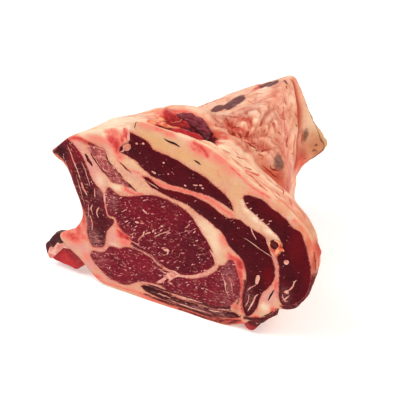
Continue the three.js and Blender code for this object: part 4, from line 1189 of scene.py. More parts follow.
def lump(outline, front, rear, seed):
    # A scrap of meat: its outline carried back, narrowing as the root of 1 less the depth's cube, with a
    # crowned, uneven front.
    rows, columns, rings = 16, 110, 14
    ring = evenly(closedCurve(outline, 12), columns, closed=True)
    middle = ring.mean(axis=0)
    share = np.linspace(0, 1, rows)[:, None]
    size = np.sqrt(np.clip(1 - 0.92 * share ** 3, 0, 1)) * (1 - 0.05 * (1 - rise(share, 0, 0.08)))
    flat = middle + size[..., None] * (ring - middle)[None]
    depth = front + share * (rear - front) + 0 * flat[..., 0]
    side = np.stack([flat[..., 0], depth, flat[..., 1]], axis=-1)
    noise = 1.3 * lumps(side, 7, seed) + 0.5 * lumps(side, 3, seed + 1)
    away = np.concatenate([flat - middle, np.zeros(flat.shape[:-1] + (1,))], axis=-1)[..., [0, 2, 1]]
    away /= np.linalg.norm(away, axis=-1, keepdims=True) + 1e-6
    side = side + away * (noise * rise(share, 0, 0.12))[..., None]
    parts = [(side, gridFaces(rows, columns, closed=True))]
    inwards = np.linspace(1, 0, rings)[:, None, None]
    for row, end, height in ((side[0], -1, 1.0), (side[-1], 1, 1.5)):
        centre = row.mean(axis=0)
        disc = centre + inwards * (row - centre)
        uneven = 0.5 * (1 - inwards[..., 0] ** 6) * lumps(disc, 5, seed + 2)
        disc[..., 1] += end * (height * (1 - inwards[..., 0] ** 3) + uneven)
        parts.append((disc, gridFaces(rings, columns, closed=True)))
    for points, _ in parts:
        points[..., 2] = np.maximum(points[..., 2], 0)
    return parts


# Materials. Sizes of patterns are in millimetres.
def linear(colour):  # an sRGB hex colour as linear red, green, blue and alpha
    values = [int(colour[k:k + 2], 16) / 255 for k in (0, 2, 4)]
    return [v / 12.92 if v <= 0.04045 else ((v + 0.055) / 1.055) ** 2.4 for v in values] + [1]


def addNode(tree, kind, settings=None, inputs=None):
    # Adds a node, sets it up and links it. A text among its inputs is a hex colour.
    node = tree.nodes.new(kind)
    for name, value in (settings or {}).items():
        setattr(node, name, value)
    for name, value in (inputs or {}).items():
        if isinstance(value, bpy.types.NodeSocket):
            tree.links.new(value, node.inputs[name])
        else:
            node.inputs[name].default_value = linear(value) if isinstance(value, str) else value
    return node


def newMaterial(name):
    material = bpy.data.materials.new(name)
    material.use_nodes = True
    tree = material.node_tree
    tree.nodes.clear()
    return material, tree


def noised(tree, place, sizeMm, detail=2.0, low=0.35, high=0.65):
    # Noise of a real size: what lies between low and high is spread from 0 to 1.
    noise = addNode(tree, "ShaderNodeTexNoise", None,
                    {"Vector": place, "Scale": 1 / (sizeMm * metresPerMm), "Detail": detail})
    return addNode(tree, "ShaderNodeMapRange", None,
                   {"Value": noise.outputs[0], "From Min": low, "From Max": high}).outputs[0]


def layered(tree, colour, layers):
    # Lays colours over one another. A layer's share is the product of its factors, which are sockets and
    # numbers; where a span follows the colour, the share is spread from low to high, up to a top.
    for factors, over, *span in layers:
        share = factors[0]
        for factor in factors[1:]:
            share = addNode(tree, "ShaderNodeMath", {"operation": "MULTIPLY"},
                            {0: share, 1: factor}).outputs[0]
        if span:
            low, high, top = span
            share = addNode(tree, "ShaderNodeMapRange", None,
                            {"Value": share, "From Min": low, "From Max": high, "To Max": top}).outputs[0]
        colour = addNode(tree, "ShaderNodeMix", {"data_type": "RGBA"},
                         {0: share, 6: colour, 7: over}).outputs[2]
    return colour


def endMaterial(tree, inputs):  # the surface shader, with the output it leads to
    shader = addNode(tree, "ShaderNodeBsdfPrincipled", None, inputs)
    addNode(tree, "ShaderNodeOutputMaterial", None, {"Surface": shader.outputs[0]})


def makeLeanBeef(name, look):
    # Lean beef, sawn across the grain and a little dry: dark, matt, with fine fibre bundles, a few wet
    # glints, paler where thin at its rim, and threads of white fat between the bundles.
    material, tree = newMaterial(name)
    place = addNode(tree, "ShaderNodeTexCoord").outputs["Object"]
    stretched = addNode(tree, "ShaderNodeMapping", None,
                        {"Vector": place, "Rotation": (0, math.radians(look["lie"]), 0),
                         "Scale": (look["shortOverLong"], 1, 1)}).outputs[0]
    share = {name: addNode(tree, "ShaderNodeAttribute", {"attribute_name": name}).outputs["Fac"]
             for name in ("rim", "red", "pale", "dark")}
    fibres = noised(tree, stretched, 2.0, 3, 0.32, 0.68)  # bundles of 1 to 2 mm
    threads = noised(tree, stretched, look["threadMm"], 2, look["threadFrom"], look["threadFrom"] + 0.08)
    frayed = addNode(tree, "ShaderNodeMath", {"operation": "MULTIPLY_ADD"},
                     {0: noised(tree, place, 1.5, 3, 0.3, 0.7), 1: 0.6, 2: share["rim"]}).outputs[0]
    colour = layered(tree, look["deep"], [
        ([noised(tree, place, 17, 3, 0.38, 0.62)], look["bright"]),
        ([fibres, 0.5], look["pale"]),
        ([noised(tree, stretched, 2.6, 2, 0.5, 0.66), 0.35], look["deep"]),
        ([threads, noised(tree, place, 9, 1, 0.35, 0.6), look["threads"]], "D9907F"),  # fat, here and there
        ([share["red"], 0.75], look["red"]),
        ([share["dark"], 0.8], "26060C"),
        ([share["pale"], noised(tree, stretched, 1.4, 3, 0.4, 0.62), 0.75], "BF7E78"),  # speckled with fat
        ([share["rim"], 0.3], look["rimColour"]),
        ([frayed], "C0685E", 0.95, 1.4, 0.7)])  # torn fibres of fat at the very edge
    bumps = addNode(tree, "ShaderNodeMath", {"operation": "ADD"},
                    {0: fibres, 1: noised(tree, place, 3.5)}).outputs[0]
    normal = addNode(tree, "ShaderNodeBump", None,
                     {"Height": bumps, "Strength": 0.35, "Distance": 0.0004}).outputs[0]
    rough = addNode(tree, "ShaderNodeMapRange", None,
                    {"Value": noised(tree, place, 5), "To Min": 0.3, "To Max": 0.55}).outputs[0]
    endMaterial(tree, {
        "Base Color": colour, "Roughness": rough, "Normal": normal, "IOR": 1.38,
        "Specular IOR Level": look["gloss"], "Subsurface Weight": 0.12, "Subsurface Scale": 0.002,
        "Subsurface Radius": (1, 0.3, 0.2)})
    return material


# Lean beef in its states: colours, gloss, the lie of its fibres in degrees, and its threads of fat, whose
# noise starts to show at threadFrom.
leanLooks = {
    "dark": {
        "red": "6A0A12", "deep": "36080E", "bright": "4A0911", "pale": "58101A", "rimColour": "64141C",
        "gloss": 0.05, "lie": 20, "shortOverLong": 0.5, "threadMm": 2.2, "threadFrom": 0.72,
        "threads": 0.25,
    },
    "chine": {
        "red": "8A1420", "deep": "34090F", "bright": "5C131C", "pale": "7A2A32", "rimColour": "7A2228",
        "gloss": 0.07, "lie": -75, "shortOverLong": 0.25, "threadMm": 2.4, "threadFrom": 0.6,
        "threads": 0.45,
    },
    "eye": {
        "red": "780C1A", "deep": "4A0713", "bright": "640B19", "pale": "7C1E2E", "rimColour": "6E1420",
        "gloss": 0.07, "lie": 40, "shortOverLong": 0.35, "threadMm": 1.8, "threadFrom": 0.6, "threads": 0.5,
    },
    "light": {
        "red": "80101C", "deep": "520916", "bright": "6E101F", "pale": "882636", "rimColour": "7A1A28",
        "gloss": 0.07, "lie": 10, "shortOverLong": 0.3, "threadMm": 1.8, "threadFrom": 0.58,
        "threads": 0.55,
    },
    "pink": {
        "red": "8A2030", "deep": "62191F", "bright": "8E3438", "pale": "BE6A66", "rimColour": "5A161A",
        "gloss": 0.07, "lie": -45, "shortOverLong": 0.3, "threadMm": 2.2, "threadFrom": 0.5, "threads": 0.8,
    },
    "rib": {
        "red": "6A0E14", "deep": "2A070D", "bright": "430C13", "pale": "6A2E2C", "rimColour": "5A2020",
        "gloss": 0.07, "lie": 3, "shortOverLong": 0.15, "threadMm": 2.2, "threadFrom": 0.56, "threads": 0.6,
    },
    "fresh": {
        "red": "1E0508", "deep": "7A0C14", "bright": "B0141A", "pale": "B52A2E", "rimColour": "3A0A0E",
        "gloss": 0.25, "lie": 30, "shortOverLong": 0.5, "threadMm": 2.0, "threadFrom": 0.68, "threads": 0.3,
    },
    "scrap": {
        "red": "7A1220", "deep": "1C0509", "bright": "430A14", "pale": "6E121E", "rimColour": "120405",
        "gloss": 0.2, "lie": 30, "shortOverLong": 0.5, "threadMm": 2.2, "threadFrom": 0.72, "threads": 0.1,
    },
    "membrane": {
        "red": "8A3030", "deep": "380A10", "bright": "681822", "pale": "A4565E", "rimColour": "6E2A2A",
        "gloss": 0.08, "lie": 0, "shortOverLong": 0.3, "threadMm": 2.0, "threadFrom": 0.66, "threads": 0.4,
    },
}


def creases(tree, place, sizeMm):  # 1 along thin wandering lines: where noise passes its middle value
    noise = addNode(tree, "ShaderNodeTexNoise", None,
                    {"Vector": place, "Scale": 1 / (sizeMm * metresPerMm), "Detail": 1.5, "Distortion": 0.6})
    offset = addNode(tree, "ShaderNodeMath", {"operation": "SUBTRACT"},
                     {0: noise.outputs[0], 1: 0.5}).outputs[0]
    offset = addNode(tree, "ShaderNodeMath", {"operation": "ABSOLUTE"}, {0: offset}).outputs[0]
    return addNode(tree, "ShaderNodeMapRange", {"interpolation_type": "SMOOTHSTEP"},
                   {"Value": offset, "From Max": 0.055, "To Min": 1, "To Max": 0}).outputs[0]


def makeBeefFat():
    # Firm beef fat: waxy cream to peach, sawn smooth on the faces, on the outside a thin dried skin that
    # holds blood in its folds, with painted shade in the folds and painted highlights on the ridges; wet
    # looking and slightly see-through.
    material, tree = newMaterial("beef fat, cut and skinned")
    place = addNode(tree, "ShaderNodeTexCoord").outputs["Object"]
    share = {name: addNode(tree, "ShaderNodeAttribute", {"attribute_name": name}).outputs["Fac"]
             for name in ("blood", "pink", "cream", "tan", "amber", "rust", "lean", "purple", "dried",
                          "slit", "creaseBloodAndShade", "sawn", "meatEdge", "fold", "paintedHighlight", "redStreak", "paleStreak")}
    soft = noised(tree, place, 16, 2)
    fine = noised(tree, place, 3, 3)
    creased = creases(tree, place, 8)
    skin = layered(tree, "E09C7C", [
        ([soft], "E2B190"),
        ([noised(tree, place, 7, 3, 0.46, 0.68), 0.65], "D06C4E"),  # clouds and specks of soaked blood
        ([noised(tree, place, 2.4, 2, 0.54, 0.72), 0.35], "D0583F"),
        ([share["paleStreak"], 0.7], "EEC8A2"),
        ([share["redStreak"], 0.9], "C85640"),
        ([share["fold"], 0.7], "FCBA98"),
        ([share["paintedHighlight"], 0.85], "FFE0C4"),  # painted highlight on the ridges
        # darker red along the crease lines of the folds: blood in them, and painted shade
        ([share["fold"], creased, 0.5], "C85036")])
    # Blood that soaked in follows the fine grain: salmon, red, then dark red, each from its own share on.
    grain = addNode(tree, "ShaderNodeMapRange", None,
                    {"Value": fine, "To Min": 0.86, "To Max": 1.1}).outputs[0]
    stain = addNode(tree, "ShaderNodeMath", {"operation": "MULTIPLY", "use_clamp": True},
                    {0: share["blood"], 1: grain}).outputs[0]
    # Where the fat meets meat, thin red and dark fibres run into it. Dark patches end in a crisp edge.
    frayed = addNode(tree, "ShaderNodeMath", {"operation": "MULTIPLY_ADD"},
                     {0: noised(tree, place, 1.6, 3, 0.3, 0.7), 1: 0.7, 2: share["meatEdge"]}).outputs[0]
    crisp = {name: addNode(tree, "ShaderNodeMath", {"operation": "MULTIPLY_ADD"},
                           {0: fine, 1: 0.2, 2: share[name]}).outputs[0]
             for name in ("lean", "purple", "dried", "slit")}
    meat = layered(tree, "35080D", [
        ([fine], "64121A"),
        ([noised(tree, place, 5, 2, 0.56, 0.66), 0.6], "A01C24")])
    cutFat = layered(tree, "C98C70", [([soft], "D0A07F")])
    colour = addNode(tree, "ShaderNodeMix", {"data_type": "RGBA"},
                     {0: share["sawn"], 6: skin, 7: cutFat}).outputs[2]
    colour = layered(tree, colour, [
        ([fine, 0.2], "EBC6A4"),
        ([share["tan"], 0.85], "CC9862"),
        ([share["pink"], 0.85], "CF8882"),
        ([share["cream"], 0.9], "E8D2B4"),
        ([stain], "DA7462", 0.05, 0.42, 1),
        ([stain], "C63A38", 0.42, 0.7, 1),
        ([stain], "8E1014", 0.7, 1.0, 1),
        ([share["amber"], 0.85], "CC4E30"),
        ([share["rust"], 0.85], "A64A38"),
        # dark red in the creases: blood held there, and painted shade of the creases
        ([share["creaseBloodAndShade"]], "AC3422"),
        ([frayed], "C9604F", 0.55, 1.25, 0.75),
        ([frayed], "7A1A20", 1.15, 1.5, 0.85),
        ([crisp["lean"]], meat, 0.35, 0.75, 1),
        ([crisp["purple"]], layered(tree, "42141A", [([fine], "6E2E34")]), 0.4, 0.62, 0.95),
        ([crisp["dried"]], layered(tree, "56282A", [([fine], "86583E")]), 0.35, 0.7, 0.9),
        # near black painted shade inside the slits and the pocket's hole
        ([crisp["slit"]], "34100E", 0.35, 0.7, 1)])
    bumps = addNode(tree, "ShaderNodeMath", {"operation": "ADD"},
                    {0: noised(tree, place, 2.2, 3), 1: noised(tree, place, 6, 2)}).outputs[0]
    normal = addNode(tree, "ShaderNodeBump", None,
                     {"Height": bumps, "Strength": 0.4, "Distance": 0.0006}).outputs[0]
    folded = addNode(tree, "ShaderNodeMath", {"operation": "MULTIPLY"},
                     {0: share["fold"], 1: creased}).outputs[0]
    normal = addNode(tree, "ShaderNodeBump", {"invert": True},
                     {"Height": folded, "Strength": 0.4, "Distance": 0.0012, "Normal": normal}).outputs[0]
    rough = addNode(tree, "ShaderNodeMapRange", None,
                    {"Value": noised(tree, place, 6), "To Min": 0.38, "To Max": 0.62}).outputs[0]
    endMaterial(tree, {
        "Base Color": colour, "Roughness": rough, "Normal": normal, "IOR": 1.44, "Specular IOR Level": 0.2,
        "Subsurface Weight": 0.22, "Subsurface Scale": 0.003, "Subsurface Radius": (1, 0.4, 0.22)})
    return material


def makeFatThread(name, pale, warm, gloss):
    # Fat between the fibres: small, waxy, cream to pink where blood has run into it.
    material, tree = newMaterial(name)
    place = addNode(tree, "ShaderNodeTexCoord").outputs["Object"]
    colour = layered(tree, pale, [([noised(tree, place, 5, 2)], warm)])
    endMaterial(tree, {"Base Color": colour, "Roughness": 0.42, "IOR": 1.44, "Specular IOR Level": gloss})
    return material


# Thin pieces of fat and dried blood: what each is, its two colours and its gloss.
threadLooks = {
    "vein": ("seam fat", "DDA893", "C46C62", 0.2),
    "fleck": ("marbling fat", "E9AFA2", "C46A6C", 0.2),
    "fine": ("fine marbling fat", "AE4450", "86242F", 0.2),
    "torn": ("torn fat, blood stained", "E89C70", "CC4A30", 0.2),
    "knob": ("torn end of a seam", "CC8A74", "B05C4A", 0.2),
    "dried": ("dried dark lean", "5C2020", "341012", 0.04),
    # the dark crease threads are blood and painted shade of the creases
    "bloodAndShadeCreases": ("blood and painted shade in creases", "A8442E", "7C2A1A", 0.08),
    "redCreases": ("blood soaked streaks", "CC6450", "B44A3A", 0.12),
    "faintCreases": ("faint soaked streaks", "D68A6C", "C06E54", 0.15),
}
lean = {kind: makeLeanBeef("lean beef, " + kind, look) for kind, look in leanLooks.items()}
beefFat = makeBeefFat()
thread = {kind: makeFatThread(*look) for kind, look in threadLooks.items()}
print("materials made")

fatBody = makeFatBody()
paintFat(fatBody)
finish(fatBody, beefFat, "fat", "fat_body")

for name, muscle in muscles.items():
    finish(makeMuscle(name, muscle), lean[muscle["lean"]], muscle["slot"], muscle["node"])
print("muscles made")


def bothEnds(lines, low, high):  # strips along lines, on the front and the rear face
    paths = [openCurve(line, 14) for line, _ in lines]
    widths = [width for _, width in lines]
    return [strips(paths, widths, low, high, end, ragged=0.7) for end in (-1, 1)]


# How far the strips on the faces reach in and out of them, in mm.
stripDepths = {"seams": (-0.9, 0.35), "slivers": (-0.8, 0.3), "flecks": (-0.5, 0.22)}
finish(makePiece("fatSeams", bothEnds(fatLines, *stripDepths["seams"])), thread["vein"], "fat")
finish(makePiece("darkSlivers", bothEnds(darkSlivers, *stripDepths["slivers"])), thread["dried"], "dark_meat")

spotParts = []
for seed, (x, z, half, side, turn) in enumerate(fatSpots):
    height = float(faceHeight(np.array([[x, z]]))[0])
    place = onFace(np.array([x, z], float), height, -1)
    spotParts.append(blob(place, (half, 0.7, side), turn, seed, 0.3))
finish(makePiece("fatSpots", spotParts), thread["vein"], "fat")
pinkEnd = onFace(np.array([-65.5, 176.5]), 0.8, -1)
finish(makePiece("pinkEnd", [blob(pinkEnd, (4.8, 1, 3.4), 30, 3, 0.35)]), thread["knob"], "fat")

dice = np.random.default_rng(7)
fleckPieces = [("marblingFlecks", "fleck", 1.0), ("fineMarbling", "fine", 0.7)]  # name, look and size
for kind, (pieceName, look, size) in enumerate(fleckPieces):
    fleckParts = []
    for name, flecks in marbling.items():
        for end, share in ((-1, 1.0), (1, 0.6)):  # fewer on the rear face
            count = int(flecks["counts"][kind] * share)
            paths, widths = scatterFlecks(muscles[name], flecks, count, size, dice)
            fleckParts.append(strips(paths, widths, *stripDepths["flecks"], end, around=6, ragged=0.5))
    finish(makePiece(pieceName, fleckParts), thread[look], "fat")
print("fat lines and flecks made")

# The open end of a vessel between the middle and the outer muscle: torn strands round a dark sheet, painted
# shade of its hole.
vesselTubes = [
    ([(93, 120), (97.5, 119), (99, 115), (97, 110), (95, 105), (95, 101)], [0.4, 0.9, 1.3, 2.0, 1.5, 0.6]),
    ([(98, 113), (101, 112.5), (103.5, 111)], [1.6, 1.9, 0.6]),
    ([(89, 117), (88, 113), (90, 109)], [0.5, 1.1, 0.6]),
]
vesselOut = 1.5  # mm by which its middle stands out of the face
vesselParts = [tube([(x, frontY - vesselOut, z) for x, z in path], radii, 5 + k, 0.35)
               for k, (path, radii) in enumerate(vesselTubes)]
finish(makePiece("vesselRing", vesselParts), thread["torn"], "fat")
# A flat dark blob that stands for the shade in the vessel's hole: painted shade.
vesselHoleShade = blob((93, frontY - 0.5, 114.5), (5, 0.9, 5.6), 20, 9)
finish(makePiece("vesselHoleShade", [vesselHoleShade]), thread["dried"], "dark_meat")

# Blood dried in the creases of the outside, darkened as painted shade, and streaks that soaked in: x, y and
# z, and width in mm.
creaseThreads = {
    "bloodAndShadeCreases": [
        ([(-6, -12, 180), (-1, -16, 179), (2, -18, 177), (5, -19, 176)], 1.5),
        ([(5, -20, 176), (8, -18, 176), (11, -19, 176), (14, -19, 177)], 1.4),
        ([(2, -26, 174), (5, -26, 172), (8, -24, 172), (10, -23, 173), (14, -25, 172),
         (19, -28, 172)], 2.4), ([(13, -22, 175), (16, -22, 175), (20, -23, 174), (21, -23, 173)], 2.4),
        ([(24, -18, 177), (24, -20, 174), (25, -21, 172)], 2.2),
        ([(22, -24, 170), (24, -23, 168), (27, -21, 166), (29, -20, 163), (32, -18, 159),
         (35, -17, 158)], 1.5), ([(34, -17, 158), (38, -14, 157), (41, -11, 157), (44, -7, 156)], 2.3),
        ([(9, 5, 181), (13, -2, 182)], 1.2),
        ([(43, 34, 148), (44, 33, 146), (45, 30, 143), (45, 31, 138)], 2.4),
        ([(44, 24, 153), (45, 24, 148), (45, 30, 138)], 1.5),
        ([(32, 47, 183), (33, 48, 181), (34, 50, 178)], 1.8), ([(25, 63, 188), (29, 59, 187)], 1.6),
        ([(-14, 75, 167), (-6, 68, 172), (-2, 67, 174)], 1.8), ([(41, 54, 152), (42, 57, 146)], 2.0),
        ([(44, -13, 140), (47, -12, 137), (50, -9, 134), (53, -5, 132)], 1.8),
        ([(72, -95, 172), (77, -96, 170)], 1.2),
        ([(38, -17, 142), (44, -15, 136), (50, -12, 130), (55, -9, 124)], 1.6),
        ([(42, 12, 166), (44, 14, 161)], 1.2)],
    "redCreases": [
        ([(25, -21, 171), (27, -18, 173), (30, -15, 175), (33, -12, 176)], 2.2),
        ([(35, 10, 180), (38, 9, 177), (38, 11, 174), (41, 10, 170)], 2.4),
        ([(29, -19, 165), (32, -17, 166), (34, -15, 166)], 1.6),
        ([(34, -16, 163), (38, -13, 163), (41, -9, 161)], 1.4), ([(31, 33, 183), (34, 33, 179)], 1.5),
        ([(36, 26, 175), (38, 30, 171), (39, 38, 166)], 1.6),
        ([(39, 57, 165), (40, 60, 161), (40, 63, 155)], 1.8),
        ([(19, 10, 185), (24, 5, 187), (27, 4, 187)], 1.7),
        ([(35, -17, 155), (37, -16, 152), (39, -15, 148)], 1.3),
        ([(50, -11, 131), (53, -8, 129), (56, -2, 125)], 1.8),
        ([(59, -86, 177), (62, -84, 175), (66, -81, 172)], 2.0),
        ([(52, -87, 182), (56, -84, 179), (58, -80, 176)], 1.2),
        ([(77, -65, 157), (84, -71, 157), (92, -79, 158)], 2.2), ([(70, -76, 168), (75, -74, 164)], 1.5),
        ([(45, 39, 128), (45, 44, 122)], 1.6), ([(96, -81, 156), (103, -87, 154)], 1.6),
        ([(-5, -32, 181), (-7, -28, 182)], 1.6), ([(62, -90, 180), (72, -92, 174), (80, -94, 169)], 1.3),
        ([(86, -84, 164), (94, -90, 161)], 1.5), ([(44, 67, 137), (45, 66, 130), (45, 65, 123)], 1.4),
        ([(40, -82, 187), (48, -78, 182)], 1.3)],
    "faintCreases": [
        ([(43, -8, 156), (45, -2, 155), (47, 4, 152), (48, 10, 147), (49, 14, 144)], 1.3),
        ([(-10, 40, 170), (-3, 35, 173), (7, 25, 178)], 1.3), ([(42, 24, 160), (43, 26, 155)], 1.4),
        ([(-9, 48, 171), (-4, 50, 173), (8, 44, 179)], 1.3),
        ([(40, -90, 190), (45, -89, 186), (52, -87, 182)], 1.5), ([(62, -68, 167), (69, -68, 164)], 1.4),
        ([(66, -88, 176), (76, -88, 171), (88, -88, 164)], 1.2),
        ([(24, -88, 196), (34, -86, 193), (42, -84, 187)], 1.4),
        ([(82, -91, 167), (90, -94, 164), (97, -96, 161)], 1.3), ([(108, -84, 146), (116, -88, 142)], 1.4)],
}
# A crease's thread: how far it lies in and out of the outside and strays from its line, in mm, and how
# uneven its width is.
creaseForm = {
    "low": -0.6, "high": 0.5, "around": 6, "stray": 0.5, "straySize": 3.5, "uneven": 0.4, "unevenSize": 2.2,
}
# Short creases on the sides that the others leave bare: directions in degrees, lengths and widths in mm.
scattered = {
    "count": 90, "length": (9, 30), "width": (0.7, 1.7), "degrees": (96, 246), "lowDegrees": (-58, 2),
    "y": (-70, 66), "lieSpread": 0.5, "bend": 3, "fromFront": 22, "fromRear": 3,
}


def surfaceStrips(lines):
    # Lens-shaped strips along lines on the wrinkled outside. Across: half width times cos, changed by noise.
    # Out of it: from low to high times sin. The way out is the cross product of steps round and along.
    low, high, around = creaseForm["low"], creaseForm["high"], creaseForm["around"]
    turn = np.linspace(0, 2 * math.pi, around, endpoint=False)
    parts = []
    for seed, (line, width) in enumerate(lines):
        rest = closeCurve(line)
        rest = rest + stray(rest, creaseForm["stray"], creaseForm["straySize"], 120 + seed)
        angle, y = turnOf(rest), rest[:, 1]
        path = outsidePoints(angle, y)
        out = np.cross(outsidePoints(angle, y + 1) - outsidePoints(angle, y - 1),
                       outsidePoints(angle + 0.01, y) - outsidePoints(angle - 0.01, y))
        out /= np.linalg.norm(out, axis=1, keepdims=True)
        along = np.gradient(path, axis=0)
        side = np.cross(along, out)
        side /= np.linalg.norm(side, axis=1, keepdims=True)
        swell = np.clip(np.sin(np.linspace(0, math.pi, len(path))), 0, 1) ** 0.6
        uneven = creaseForm["uneven"] * lumps(path, creaseForm["unevenSize"], 130 + seed)
        half = 0.5 * width * swell * (1 + uneven)
        height = 0.5 * (low + high) + 0.5 * (high - low) * swell[:, None] * np.sin(turn)
        across = half[:, None] * np.cos(turn)
        points = path[:, None] + side[:, None] * across[..., None] + out[:, None] * height[..., None]
        parts.append((points, gridFaces(len(path), around, closed=True)))
    return parts


def scatteredCreases():
    # Short bent lines on the left side, the top's rear and the lower right, mostly along the joint.
    dice = np.random.default_rng(12)
    lines = []
    for k in range(scattered["count"]):
        first, last = scattered["degrees"] if k % 3 else scattered["lowDegrees"]
        start = np.array([dice.uniform(first, last), dice.uniform(*scattered["y"])])
        lie = dice.normal(0, scattered["lieSpread"])
        length = dice.uniform(*scattered["length"])
        steps = np.linspace(-0.5, 0.5, 5)
        bend = dice.uniform(-scattered["bend"], scattered["bend"])
        degrees = start[0] + steps * length * math.sin(lie) / 2 + bend * steps ** 2
        y = np.clip(start[1] + steps * length * math.cos(lie),
                    frontY + scattered["fromFront"], rearY - scattered["fromRear"])
        lines.append((atRest(np.radians(degrees), y), dice.uniform(*scattered["width"])))
    return lines


creaseThreads["faintCreases"] += scatteredCreases()
for name, lines in creaseThreads.items():
    finish(makePiece(name, surfaceStrips(lines)), thread[name], "fat")
print("creases made")

# The stub at the lower left, two bits of meat with fat between them, and the scrap under the front edge.
# Outlines are x and z on the front face; front and rear are depths.
scraps = {
    "stubUpper": {
        "front": -96, "rear": -80, "seed": 31, "material": "scrap", "slot": "dark_meat",
        "node": "stub_upper",
        "outline": [
            (-124, 44), (-140, 44), (-149, 46), (-155, 45), (-160, 42.5), (-164, 37), (-167, 31),
            (-171, 27), (-172, 22), (-170, 14), (-167, 19), (-161, 27), (-150, 35), (-140, 38), (-124, 40)],
    },
    "stubFat": {
        "front": -96.6, "rear": -79.5, "seed": 34, "material": "seam fat", "slot": "fat",
        "node": "stub_fat",
        "outline": [
            (-122, 41), (-140, 41), (-150, 37.5), (-160, 31), (-167, 23), (-169.5, 14), (-167, 9.5),
            (-163, 12), (-161, 20), (-156, 27), (-147, 32), (-138, 34.5), (-122, 35)],
    },
    "stubLower": {
        "front": -96, "rear": -80, "seed": 37, "material": "fresh", "slot": "light_meat",
        "node": "stub_lower",
        "outline": [
            (-118, 36), (-138, 35), (-147, 33), (-157, 27), (-162, 20), (-164, 11), (-156, 9), (-150, 8),
            (-142, 7.5), (-135, 6), (-128, 11), (-122, 17), (-116, 24)],
    },
    "lowerScrap": {
        "front": -99.5, "rear": -78, "seed": 41, "material": "fresh", "slot": "light_meat",
        "node": "lower_scrap", "reddens": (27, 31),
        "outline": [(62, 13), (63, 7), (68, 3.4), (73, 5), (76.5, 10), (78, 17), (73, 19), (65, 17)],
    },
}
scrapMaterials = {"seam fat": thread["vein"], "scrap": lean["scrap"], "fresh": lean["fresh"]}
for name, look in scraps.items():
    scrap = makePiece(name, lump(look["outline"], look["front"], look["rear"], look["seed"]))
    if "reddens" in look:  # redder towards its top and right
        points = meshPoints(scrap)
        height = points[:, 2] + 0.25 * points[:, 0] + 2 * lumps(points, 5, 44)
        paint(scrap, "red", rise(height, *look["reddens"]))
    finish(scrap, scrapMaterials[look["material"]], look["slot"], look["node"])

# In the pocket: the end of a small muscle along its upper wall, bright red meat that leans against its near
# wall, the torn cream edge above that, and torn fat at its lower left.
pocketTubes = {
    "pocketMuscle": {
        "path": [
            (-51, -46, 190), (-42, -45, 188), (-32, -42, 186.5), (-21, -42, 184), (-11, -45, 180),
            (-3, -51, 175)],
        "radii": [2, 5, 6.5, 7, 6, 2.5], "seed": 51, "rough": 0.2, "around": 24, "material": "membrane",
        "slot": "dark_meat",
    },
    "pocketFlesh": {
        "path": [(-25, -85, 197), (-17, -84, 196.5), (-10, -82, 194.5), (-1.5, -80, 192), (6, -77, 188)],
        "radii": [2, 5.5, 6, 5.5, 2], "seed": 55, "rough": 0.35, "around": 20, "material": "fresh",
        "slot": "light_meat",
    },
    "pocketEdge": {
        "path": [(-44, -80, 197), (-37, -78, 196.5), (-30, -77, 196), (-22, -76, 195.6), (-13, -74, 193)],
        "radii": [0.8, 1.8, 1.3, 1.5, 0.6], "seed": 57, "rough": 0.5, "around": 14, "material": "torn",
        "slot": "fat",
    },
}
pocketMaterials = {"membrane": lean["membrane"], "fresh": lean["fresh"], "torn": thread["torn"]}
for name, look in pocketTubes.items():
    part = tube(look["path"], look["radii"], look["seed"], look["rough"], look["around"])
    finish(makePiece(name, [part]), pocketMaterials[look["material"]], look["slot"])
tornPlaces = [
    ((-42, -75, 195), (5, 4, 1.6), 10), ((-48, -82, 199), (5, 3.4, 1.4), -6),
    ((-38, -86, 198), (4, 3, 1.6), 20), ((-46, -68, 195), (4, 3.4, 1.4), -12)
]
tornParts = [blob(ontoOutside(place), halves, tilt, 61 + k, 0.5)
             for k, (place, halves, tilt) in enumerate(tornPlaces)]
finish(makePiece("tornFat", tornParts), thread["torn"], "fat")
print("scraps made")

# The pale floor and soft studio light. Lengths are metres, powers watts; both lights look at the lit point.
studio = {
    "floorSize": 8.0, "floorColour": "FCFBFA", "floorGlow": 0.18, "world": 0.78, "keyPower": 18.5,
    "keySize": 1.0, "keyPlace": (-0.8, -0.8, 1.7), "fillPower": 14, "fillSize": 1.4,
    "fillPlace": (1.5, -0.6, 1.3), "lit": (0, -0.05, 0.1), "worldColour": "FFFDFB",
}


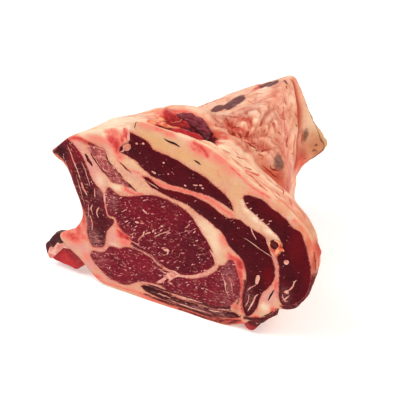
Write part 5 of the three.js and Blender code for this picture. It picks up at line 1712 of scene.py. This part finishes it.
def makeFloor():  # matt white paper that glows a little, as a lit backdrop does
    half = studio["floorSize"] / 2
    corners = [(-half, -half, 0), (half, -half, 0), (half, half, 0), (-half, half, 0)]
    mesh = bpy.data.meshes.new("floor")
    mesh.from_pydata(corners, [], [(0, 1, 2, 3)])
    floor = bpy.data.objects.new("floor", mesh)
    bpy.context.scene.collection.objects.link(floor)
    material, tree = newMaterial("matt white paper")
    place = addNode(tree, "ShaderNodeTexCoord").outputs["Object"]
    colour = layered(tree, studio["floorColour"], [([noised(tree, place, 300), 0.3], "EFEDEA")])
    endMaterial(tree, {"Base Color": colour, "Roughness": 0.9, "Emission Color": "FFFFFF",
                       "Emission Strength": studio["floorGlow"]})
    floor.data.materials.append(material)


def addLight(name, place, power, size):
    light = bpy.data.lights.new(name, "AREA")
    light.energy = power
    light.size = size
    lamp = bpy.data.objects.new(name, light)
    lamp.location = place
    towards = Vector(studio["lit"]) - Vector(place)
    lamp.rotation_euler = towards.to_track_quat("-Z", "Y").to_euler()
    bpy.context.scene.collection.objects.link(lamp)


makeFloor()
addLight("key", studio["keyPlace"], studio["keyPower"], studio["keySize"])
addLight("fill", studio["fillPlace"], studio["fillPower"], studio["fillSize"])
world = bpy.data.worlds.new("studio")
world.use_nodes = True
world.node_tree.nodes["Background"].inputs["Color"].default_value = linear(studio["worldColour"])
world.node_tree.nodes["Background"].inputs["Strength"].default_value = studio["world"]
bpy.context.scene.world = world
bpy.context.scene.view_settings.view_transform = "Standard"

# The camera, from the photograph's side. Angles in degrees, lengths in mm.
cameraView = {
    "azimuth": 28, "elevation": 33, "target": (13.5, -100, 140), "distance": 1400, "across": 380,
    "sensor": 36,
}


def makeCamera():  # its focal length is the sensor's width times the distance over the width in view
    turn, tilt = math.radians(cameraView["azimuth"]), math.radians(cameraView["elevation"])
    back = Vector((math.sin(turn) * math.cos(tilt), -math.cos(turn) * math.cos(tilt), math.sin(tilt)))
    camera = bpy.data.cameras.new("camera")
    camera.sensor_width = cameraView["sensor"]
    camera.lens = cameraView["sensor"] * cameraView["distance"] / cameraView["across"]
    eye = bpy.data.objects.new("camera", camera)
    eye.location = (Vector(cameraView["target"]) + back * cameraView["distance"]) * metresPerMm
    eye.rotation_euler = back.to_track_quat("Z", "Y").to_euler()
    bpy.context.scene.collection.objects.link(eye)
    bpy.context.scene.camera = eye


makeCamera()
bpy.context.view_layer.update()
print("scene ready")
